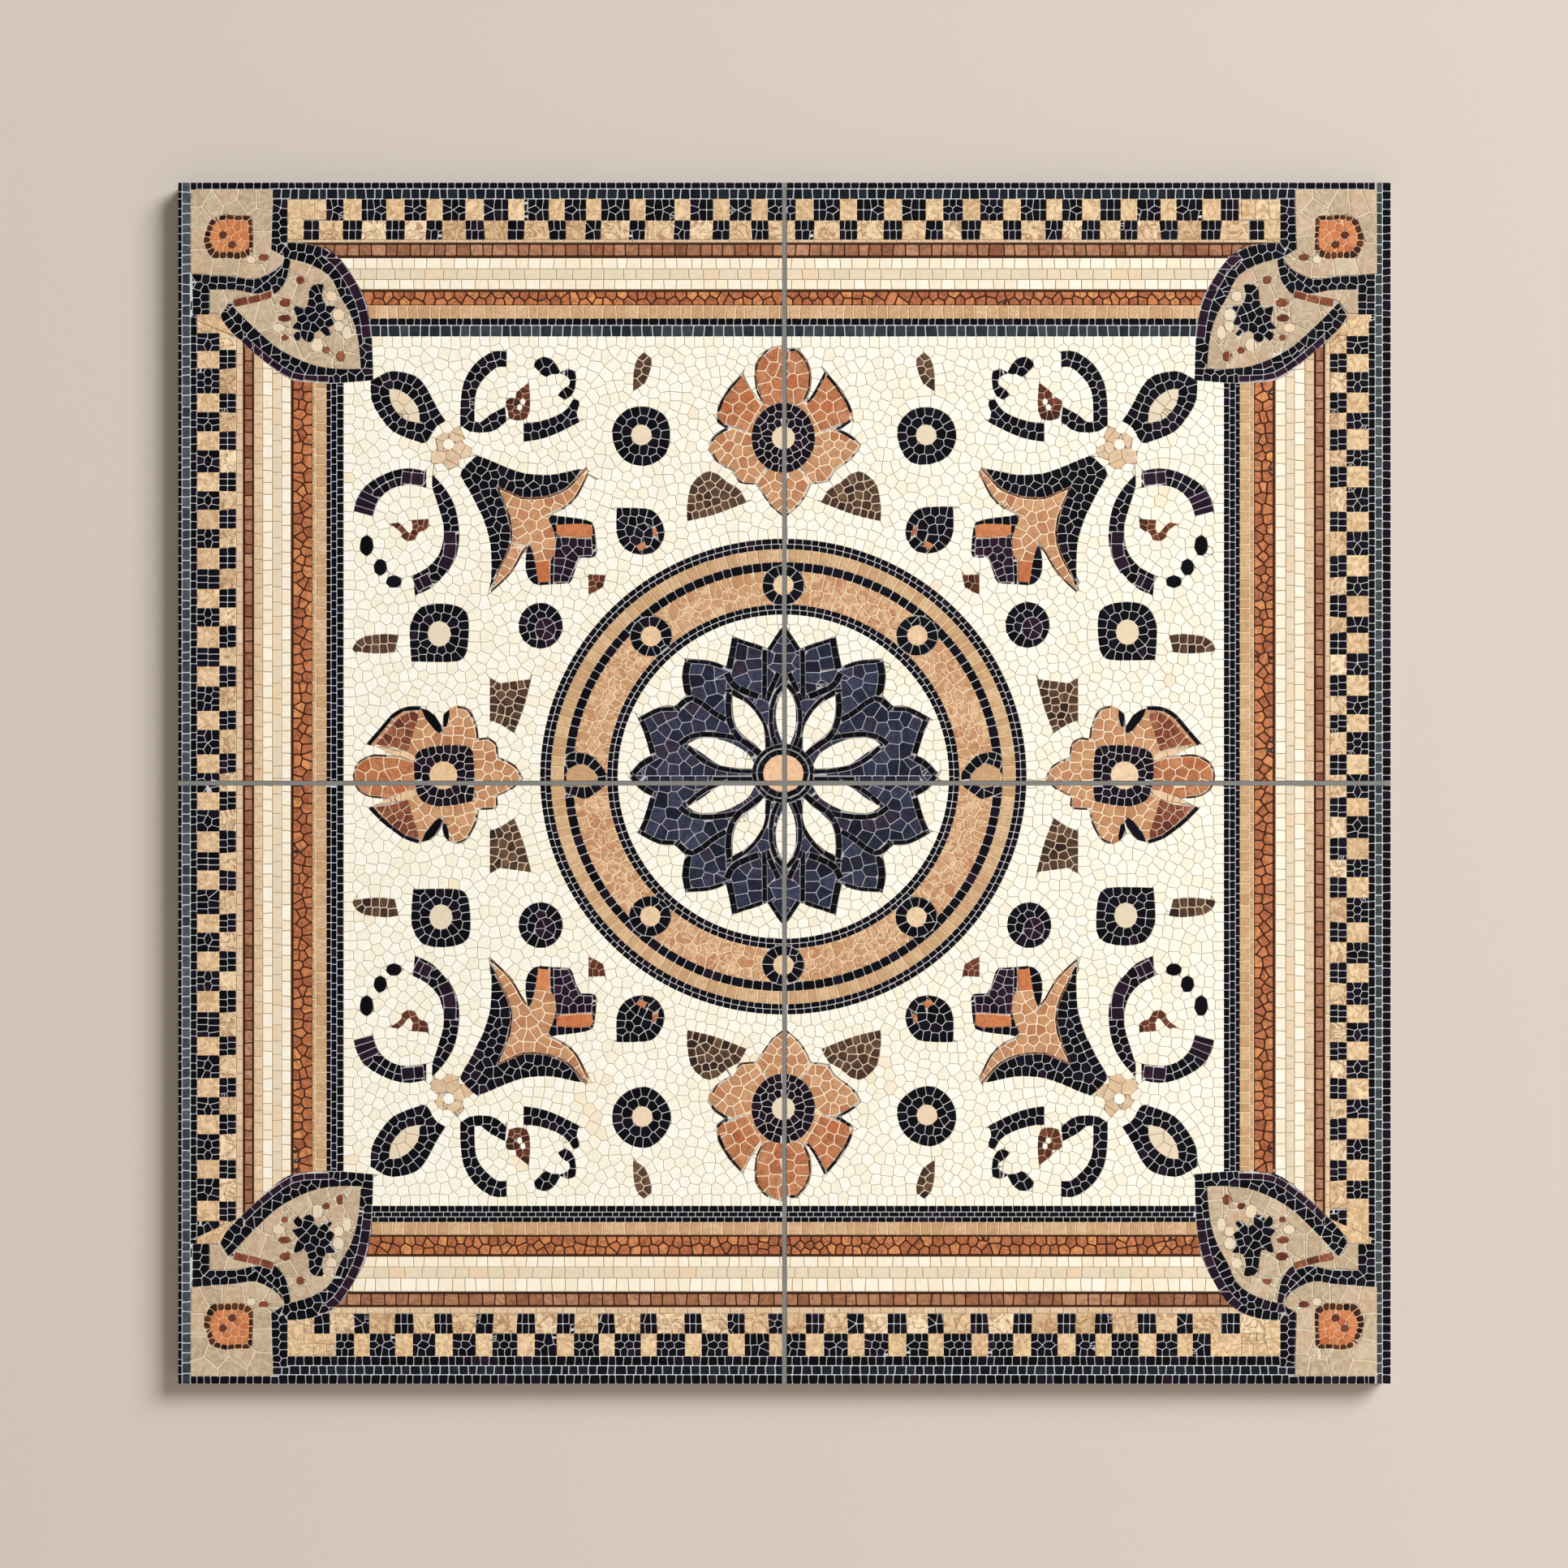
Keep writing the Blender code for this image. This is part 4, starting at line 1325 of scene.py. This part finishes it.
def tone_of(kind, x, y):
    """A stone's place on its colour ramp."""
    patch = noise.noise(Vector((x / CLOUD_SIZE, y / CLOUD_SIZE, 3.0)))
    if kind == "cream":
        return min(0.99, rng.random() ** 1.4 * 0.74 + (0.26 if patch + rng.uniform(-0.2, 0.2) > 0.5 else 0))
    if kind == "black":
        return min(0.99, rng.random() * 0.8 + (0.3 if patch + rng.uniform(-0.3, 0.3) > 0.42 else 0))
    return rng.random()


def on_board(shape, left, top, right, bottom):
    """The part of a shape that lies on a board, or None."""
    if min(p[0] for p in shape) > right or max(p[0] for p in shape) < left:
        return None
    if min(p[1] for p in shape) > bottom or max(p[1] for p in shape) < top:
        return None
    for px, py, nx, ny in ((left, top, 1, 0), (left, top, 0, 1), (right, bottom, -1, 0), (right, bottom, 0, -1)):
        shape = cut(shape, px, py, nx, ny)
        if len(shape) < 3:
            return None
    return shape if area_of(shape) >= 1.5 else None


stones = {name: {} for name in BOARDS}
beds = {name: [] for name in BOARDS}
total = 0
for number, shape in cells:
    kind = fields[number]["kind"]
    stone = None if kind in MORTAR_LINES else shrink(shape, number)
    stone = tidy(stone) if stone else None
    tone = tone_of(kind, *middle_of(shape))
    if stone and area_of(stone) > 3 and thick_enough(stone):
        stone = tidy(worn(stone, KINDS[kind][ROUND])) or stone
    else:
        stone = None
    for name, box in BOARDS.items():
        store = stones[name].setdefault(kind, [])
        part = on_board(stone, *box) if stone else None
        if part and thick_enough(part):
            store.append((part, tone))
            total += 1
        part = on_board(shape, *box)
        if part:
            beds[name].append((part, KINDS[kind][GROUT]))
print(total, "stones on four boards")

# %% [markdown]
# Each colour on each board becomes one mesh. A single cube could be copied for every stone, but each has its own
# outline, and copies that are only instances are lost in the export. So the stones start as flat outlines at
# their backs. One extrude pushes copies of all the outlines forwards and makes the sides, and an inset of each
# front face, pushed forwards a little more, leaves the worn edge round it.

# %% Meshes of stone
EDGE_DROP = 0.00030
EDGE_WIDTH = 0.00034


def place_of(x, y, front):
    """A spot of the sheet in metres, at a distance in front of the back."""
    return ((x - MIDDLE_X) * UNIT, -front, (MIDDLE_Y - y) * UNIT)


def linear(colour):
    """A colour given on the usual 0 to 255 scale, as the light that it stands for."""
    parts = [c / 255 for c in colour[:3]]
    return tuple(c / 12.92 if c <= 0.04045 else ((c + 0.055) / 1.055) ** 2.4 for c in parts)


def add_face(shape, outline, front):
    """One flat face that looks forwards."""
    return shape.faces.new([shape.verts.new(place_of(x, y, front)) for x, y in outline[::-1]])


def extrude_forwards(shape, depth):
    """Pushes copies of all the faces along Y, with sides down to the old ones, and gives the new faces."""
    raised = bmesh.ops.extrude_face_region(shape, geom=list(shape.faces), use_keep_orig=True)["geom"]
    moved = [part for part in raised if isinstance(part, bmesh.types.BMVert)]
    bmesh.ops.translate(shape, verts=moved, vec=(0, depth, 0))
    return [part for part in raised if isinstance(part, bmesh.types.BMFace)]


def mesh_from(shape, name):
    mesh = bpy.data.meshes.new(name)
    shape.to_mesh(mesh)
    shape.free()
    return mesh


def stone_mesh(name, shapes):
    """All the stones of one colour on one board."""
    shape = bmesh.new()
    tones = shape.faces.layers.float.new("tone")
    for outline, tone in shapes:
        add_face(shape, outline, STONE_BACK)[tones] = tone
    fronts = extrude_forwards(shape, STONE_BACK - FACE + EDGE_DROP)
    bmesh.ops.inset_individual(shape, faces=fronts, thickness=EDGE_WIDTH, depth=EDGE_DROP)
    bmesh.ops.recalc_face_normals(shape, faces=list(shape.faces))
    return mesh_from(shape, name)


print("a stone is", round((FACE - STONE_BACK) * 1000, 1), "mm deep")

# %% [markdown]
# The grout is a thin plate in patches of colour just under the face. The patches share their corners, so they
# are welded into one sheet before it is extruded. A plain slab behind closes the space down to the stones'
# backs.

# %% Mesh of grout
GROUT_DROP = 0.00055
GROUT_BACK = 0.0015
SLAB_DROP = 0.0010
SLAB_MARGIN = 0.5
SLAB_COLOUR = (188, 183, 178)


def grout_mesh(name, patches, box):
    shape = bmesh.new()
    colour = shape.faces.layers.float_vector.new("grout_colour")
    for outline, shade in patches:
        add_face(shape, outline, FACE - GROUT_BACK)[colour] = linear(shade)
    bmesh.ops.remove_doubles(shape, verts=list(shape.verts), dist=0.00002)
    extrude_forwards(shape, GROUT_DROP - GROUT_BACK)
    left, top, right, bottom = box
    low = Vector(place_of(left + SLAB_MARGIN, bottom - SLAB_MARGIN, FACE - SLAB_DROP))
    high = Vector(place_of(right - SLAB_MARGIN, top + SLAB_MARGIN, STONE_BACK))
    slab = bmesh.ops.create_cube(shape, size=1.0)["verts"]
    bmesh.ops.scale(shape, vec=high - low, verts=slab)
    bmesh.ops.translate(shape, vec=(high + low) / 2, verts=slab)
    for face in {face for corner in slab for face in corner.link_faces}:
        face[colour] = linear(SLAB_COLOUR)
    bmesh.ops.recalc_face_normals(shape, faces=list(shape.faces))
    return mesh_from(shape, name)


print("the grout lies", GROUT_DROP * 1000, "mm below the face")

# %% [markdown]
# A material is a small web of nodes, and all of them here are built from the same few parts: a shader, a noise
# in object space, a ramp of colours and thin veins. Noise in object space stays with the panel wherever it
# goes, and it needs no picture.

# %% Parts of materials
VEIN_SCALE, VEIN_WIDTH = 75.0, 0.055


def new_material(name, roughness, gloss=0.5):
    """A material, its node tree and its shader."""
    made = bpy.data.materials.new(name)
    made.use_nodes = True
    shader = made.node_tree.nodes["Principled BSDF"]
    shader.inputs["Roughness"].default_value = roughness
    shader.inputs["Specular IOR Level"].default_value = gloss
    return made, made.node_tree, shader


def add_node(tree, kind, feed=None, socket=0, **values):
    """A new node with values on its sockets, and one of them fed by another node's output."""
    node = tree.nodes.new("ShaderNode" + kind)
    for name, value in values.items():
        node.inputs[name.replace("_", " ")].default_value = value
    if feed:
        tree.links.new(feed, node.inputs[socket])
    return node


def add_noise(tree, scale, detail, distortion=0.0):
    where = add_node(tree, "TexCoord").outputs["Object"]
    noise_node = add_node(tree, "TexNoise", where, "Vector", Scale=scale, Detail=detail, Distortion=distortion)
    return noise_node.outputs["Fac"]


def add_ramp(tree, feed, stops):
    """A colour ramp from its stops, each a place and a colour."""
    ramp = add_node(tree, "ValToRGB", feed)
    points = ramp.color_ramp.elements
    for point, (place, colour) in ((points[0], stops[0]), (points[1], stops[-1])):
        point.position, point.color = place, (*colour, 1)
    for place, colour in stops[1:-1]:
        points.new(place).color = (*colour, 1)
    return ramp.outputs["Color"]


def add_veins(tree, surface, colour, strength):
    """Thin lines where a wide noise is close to its middle value, drawn over a surface colour."""
    from_middle = add_node(tree, "Math", add_noise(tree, VEIN_SCALE, 5.0, 1.2))
    from_middle.operation = "SUBTRACT"
    from_middle.inputs[1].default_value = 0.5
    size = add_node(tree, "Math", from_middle.outputs["Value"])
    size.operation = "ABSOLUTE"
    line = add_node(
        tree, "MapRange", size.outputs["Value"], "Value", From_Max=VEIN_WIDTH, To_Min=strength, To_Max=0.0
    )
    veined = add_node(tree, "Mix", line.outputs["Result"], "Factor")
    veined.data_type = "RGBA"
    veined.inputs["B"].default_value = (*linear(colour), 1)
    tree.links.new(surface, veined.inputs["A"])
    return veined.outputs["Result"]


print("a vein is wide where the noise is within", VEIN_WIDTH, "of its middle")

# %% [markdown]
# The stones are honed limestone and marble: matt, with a faint cloudiness inside each stone. A painted texture
# would go soft close up, so each stone carries a tone on its faces. The tone picks a colour from the ramp, and
# a fine noise darkens and lightens it a little. Most of the coloured stones also have thin veins, drawn where a
# wider noise passes through its middle value.

# %% Materials of stone
# kind: (colour of the veins, how strongly they show)
VEINS = {
    "beige": ((182, 134, 92), 0.7),
    "marble": ((160, 114, 78), 0.9),
    "peach": ((242, 216, 178), 0.7),
    "apricot": ((168, 112, 74), 0.45),
    "clay": ((128, 70, 40), 0.55),
    "rust": ((96, 48, 28), 0.6),
    "brown": ((84, 44, 32), 0.5),
    "sand": ((228, 216, 192), 0.45),
    "tan": ((178, 134, 92), 0.4),
    "orange": ((168, 84, 48), 0.45),
    "eye": ((212, 170, 128), 0.4),
    "maroon": ((84, 40, 32), 0.5),
    "umber": ((36, 24, 24), 0.5),
    "navy": ((20, 22, 38), 0.4),
}
# How much the clouds darken and lighten a stone
CLOUDING = {"cream": 0.05, "white": 0.05, "dove": 0.05, "beige": 0.22, "marble": 0.22}
DARK_CLOUDING, PLAIN_CLOUDING = 0.3, 0.13
RAMP_PLACES = (0, 0.35, 0.7, 0.95)


def stone_material(kind):
    made, tree, shader = new_material(kind + "_stone", 0.62, 0.08 if kind in DARK else 0.25)
    tone = add_node(tree, "Attribute")
    tone.attribute_name = "tone"
    ramp = add_ramp(tree, tone.outputs["Fac"], list(zip(RAMP_PLACES, map(linear, KINDS[kind][RAMP]))))
    strength = CLOUDING.get(kind, DARK_CLOUDING if kind in DARK else PLAIN_CLOUDING)
    shade = add_node(
        tree, "MapRange", add_noise(tree, 220.0, 4.0), "Value",
        From_Min=0.3, From_Max=0.7, To_Min=1 - strength, To_Max=1 + strength,
    )
    clouded = add_node(tree, "VectorMath", ramp)
    clouded.operation = "SCALE"
    tree.links.new(shade.outputs["Result"], clouded.inputs["Scale"])
    surface = clouded.outputs["Vector"]
    if kind in VEINS:
        surface = add_veins(tree, surface, *VEINS[kind])
    tree.links.new(surface, shader.inputs["Base Color"])
    return made


finish = {kind: stone_material(kind) for kind in KINDS if kind not in MORTAR_LINES}
print(len(finish), "stone materials,", len(VEINS), "with veins")

# %% [markdown]
# Grout and mortar are duller than stone. The grout reads its colour from the patches of its mesh. The cast
# mortar and cement have an even colour with grains and soft clouds.

# %% Materials of grout and mortar
def grout_material():
    made, tree, shader = new_material("grout", 0.9, 0.2)
    colour = add_node(tree, "Attribute")
    colour.attribute_name = "grout_colour"
    tree.links.new(colour.outputs["Vector"], shader.inputs["Base Color"])
    return made


def mortar_material(name, colour, amount, scale):
    made, tree, shader = new_material(name, 0.85)
    dark, light = [tuple(c * (1 + way * amount) for c in linear(colour)) for way in (-1, 1)]
    ramp = add_ramp(tree, add_noise(tree, scale, 6.0), ((0.35, dark), (0.65, light)))
    tree.links.new(ramp, shader.inputs["Base Color"])
    return made


grout = grout_material()
board_finish = mortar_material("cement_board", (150, 148, 143), 0.12, 90)
bed_finish = mortar_material("bed_grout", (196, 188, 172), 0.08, 160)
strip_finish = mortar_material("joint_mortar", (128, 128, 126), 0.03, 120)
print("materials:", grout.name, board_finish.name, bed_finish.name, strip_finish.name)

# %% [markdown]
# Now the stones take the place of the solids that stood for them. One piece is all the stones of one colour on
# one board, and the main colour of a field stands in for that field's solid. The slots tell which finish a
# piece takes in the exported part.

# %% Pieces of stone and grout
REPLACED = {
    "slate": ("outer_border",), "navy": ("rosette",), "cream": ("field", "medallion_ground"),
    "beige": ("checker_band_upright", "checker_band_level"), "sand": ("corner_leaf", "corner_square"),
    "peach": ("medallion_ring",), "rust": ("stripes_upright", "stripes_level"),
}


def add_object(name, data, *materials):
    """A new object at the origin of the scene."""
    made = bpy.data.objects.new(name, data)
    bpy.context.scene.collection.objects.link(made)
    for material in materials:
        data.materials.append(material)
    return made


def triangles_in(piece):
    return sum(len(p.vertices) - 2 for p in piece.data.polygons)


triangles = 0
for name, box in BOARDS.items():
    for kind, shapes in stones[name].items():
        if not shapes:
            continue
        piece = add_object(f"{kind}_stones_{name}", stone_mesh(kind, shapes), finish[kind])
        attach(piece, "root")
        if kind in REPLACED:
            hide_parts(*[f"{node}_{name}" for node in REPLACED[kind]])
        triangles += triangles_in(piece)
    piece = add_object(f"grout_{name}", grout_mesh("grout", beds[name], box), grout)
    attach(piece, "root")
    triangles += triangles_in(piece)
print(triangles, "triangles in the stones and grout")

# %% [markdown]
# The frame's own pieces could be made anew, but nothing on them is finer than their solids, so they keep their
# shape and only get a finish: the boards are rough cement, the beds a paler grout and the strip between the
# boards a smooth grey mortar.

# %% Boards, beds and joint strip
dressed = 0
for name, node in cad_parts.items():
    for start, chosen in (
        ("backing_board", board_finish), ("grout_bed", bed_finish), ("joint_strip", strip_finish),
    ):
        if name.startswith(start):
            node.data.materials.clear()
            node.data.materials.append(chosen)
            dressed += 1
print(dressed, "pieces of the frame have their finish")

# %% [markdown]
# The panel stands in front of a plain pale backdrop above a pale floor. The backdrop is there for the camera
# and for the panel's shadow, so it is made to vanish from behind and to cast no shadow on the panel's back.

# %% Backdrop and floor
BACKDROP_COLOUR, FLOOR_COLOUR = (213, 204, 195), (222, 214, 204)


def sheet(name, corners, colour):
    shape = bmesh.new()
    shape.faces.new([shape.verts.new(c) for c in corners])
    made, _, shader = new_material(name, 0.95, 0.1)
    shader.inputs["Base Color"].default_value = (*linear(colour), 1)
    piece = add_object(name, mesh_from(shape, name), made)
    piece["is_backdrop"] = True
    return piece


backdrop = sheet(
    "backdrop", [(-4, 0.002, -1.5), (4, 0.002, -1.5), (4, 0.002, 2.5), (-4, 0.002, 2.5)], BACKDROP_COLOUR
)
floor = sheet("floor", [(-4, -6, -1.5), (4, -6, -1.5), (4, 3, -1.5), (-4, 3, -1.5)], FLOOR_COLOUR)
backdrop.visible_shadow = False
backdrop.visible_diffuse = False
backdrop.visible_glossy = False
wall = backdrop.data.materials[0].node_tree
blend = add_node(wall, "MixShader", add_node(wall, "NewGeometry").outputs["Backfacing"], "Fac")
wall.links.new(wall.nodes["Principled BSDF"].outputs["BSDF"], blend.inputs[1])
wall.links.new(add_node(wall, "BsdfTransparent").outputs["BSDF"], blend.inputs[2])
wall.links.new(blend.outputs["Shader"], wall.nodes["Material Output"].inputs["Surface"])
print("stage:", backdrop.name, floor.name)

# %% [markdown]
# One large soft lamp far up on the right gives the shadow, and an even warm sky fills it a little. A weak lamp
# behind the panel lights its back, which would be hard to see otherwise. The camera looks straight at the
# panel, and its lens is worked out so that one unit of the sheet fills one unit of the picture.

# %% Light and camera
SKY, SKY_STRENGTH = (1.0, 0.875, 0.73, 1), 0.172
CAMERA_DISTANCE, SENSOR = 3.2, 36
PICTURE_MIDDLE = 966


def area_lamp(name, power, size, place):
    """A square lamp that looks at the panel."""
    lamp = bpy.data.lights.new(name, "AREA")
    lamp.energy = power
    lamp.size = size
    made = add_object(name, lamp)
    made.location = place
    made.rotation_euler = (-made.location).to_track_quat("-Z", "Y").to_euler()


world = bpy.data.worlds.new("sky")
bpy.context.scene.world = world
world.use_nodes = True
world.node_tree.nodes["Background"].inputs["Color"].default_value = SKY
world.node_tree.nodes["Background"].inputs["Strength"].default_value = SKY_STRENGTH
area_lamp("softbox", 2700, 7.0, (9.4, -8.2, 7.4))
area_lamp("back_fill", 150, 4.0, (-4.0, 6.0, 0.6))

view = bpy.data.cameras.new("camera")
view.sensor_width = SENSOR
view.lens = SENSOR * CAMERA_DISTANCE / (SHEET * UNIT)
camera = add_object("camera", view)
camera.location = (
    (PICTURE_MIDDLE - MIDDLE_X) * UNIT, -FACE - CAMERA_DISTANCE, (MIDDLE_Y - PICTURE_MIDDLE) * UNIT
)
camera.rotation_euler = (math.pi / 2, 0, 0)
bpy.context.scene.camera = camera
bpy.context.scene.view_settings.view_transform = "Standard"
print("lens", round(view.lens, 1), "mm")

# %% [markdown]
# The frame's box was measured right after loading. The dressed panel is measured here and both are written
# down, because the stones must stay inside the solids.

# %% Sizes
low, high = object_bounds()
print("scene box", [round(v, 4) for v in (*low, *high)])
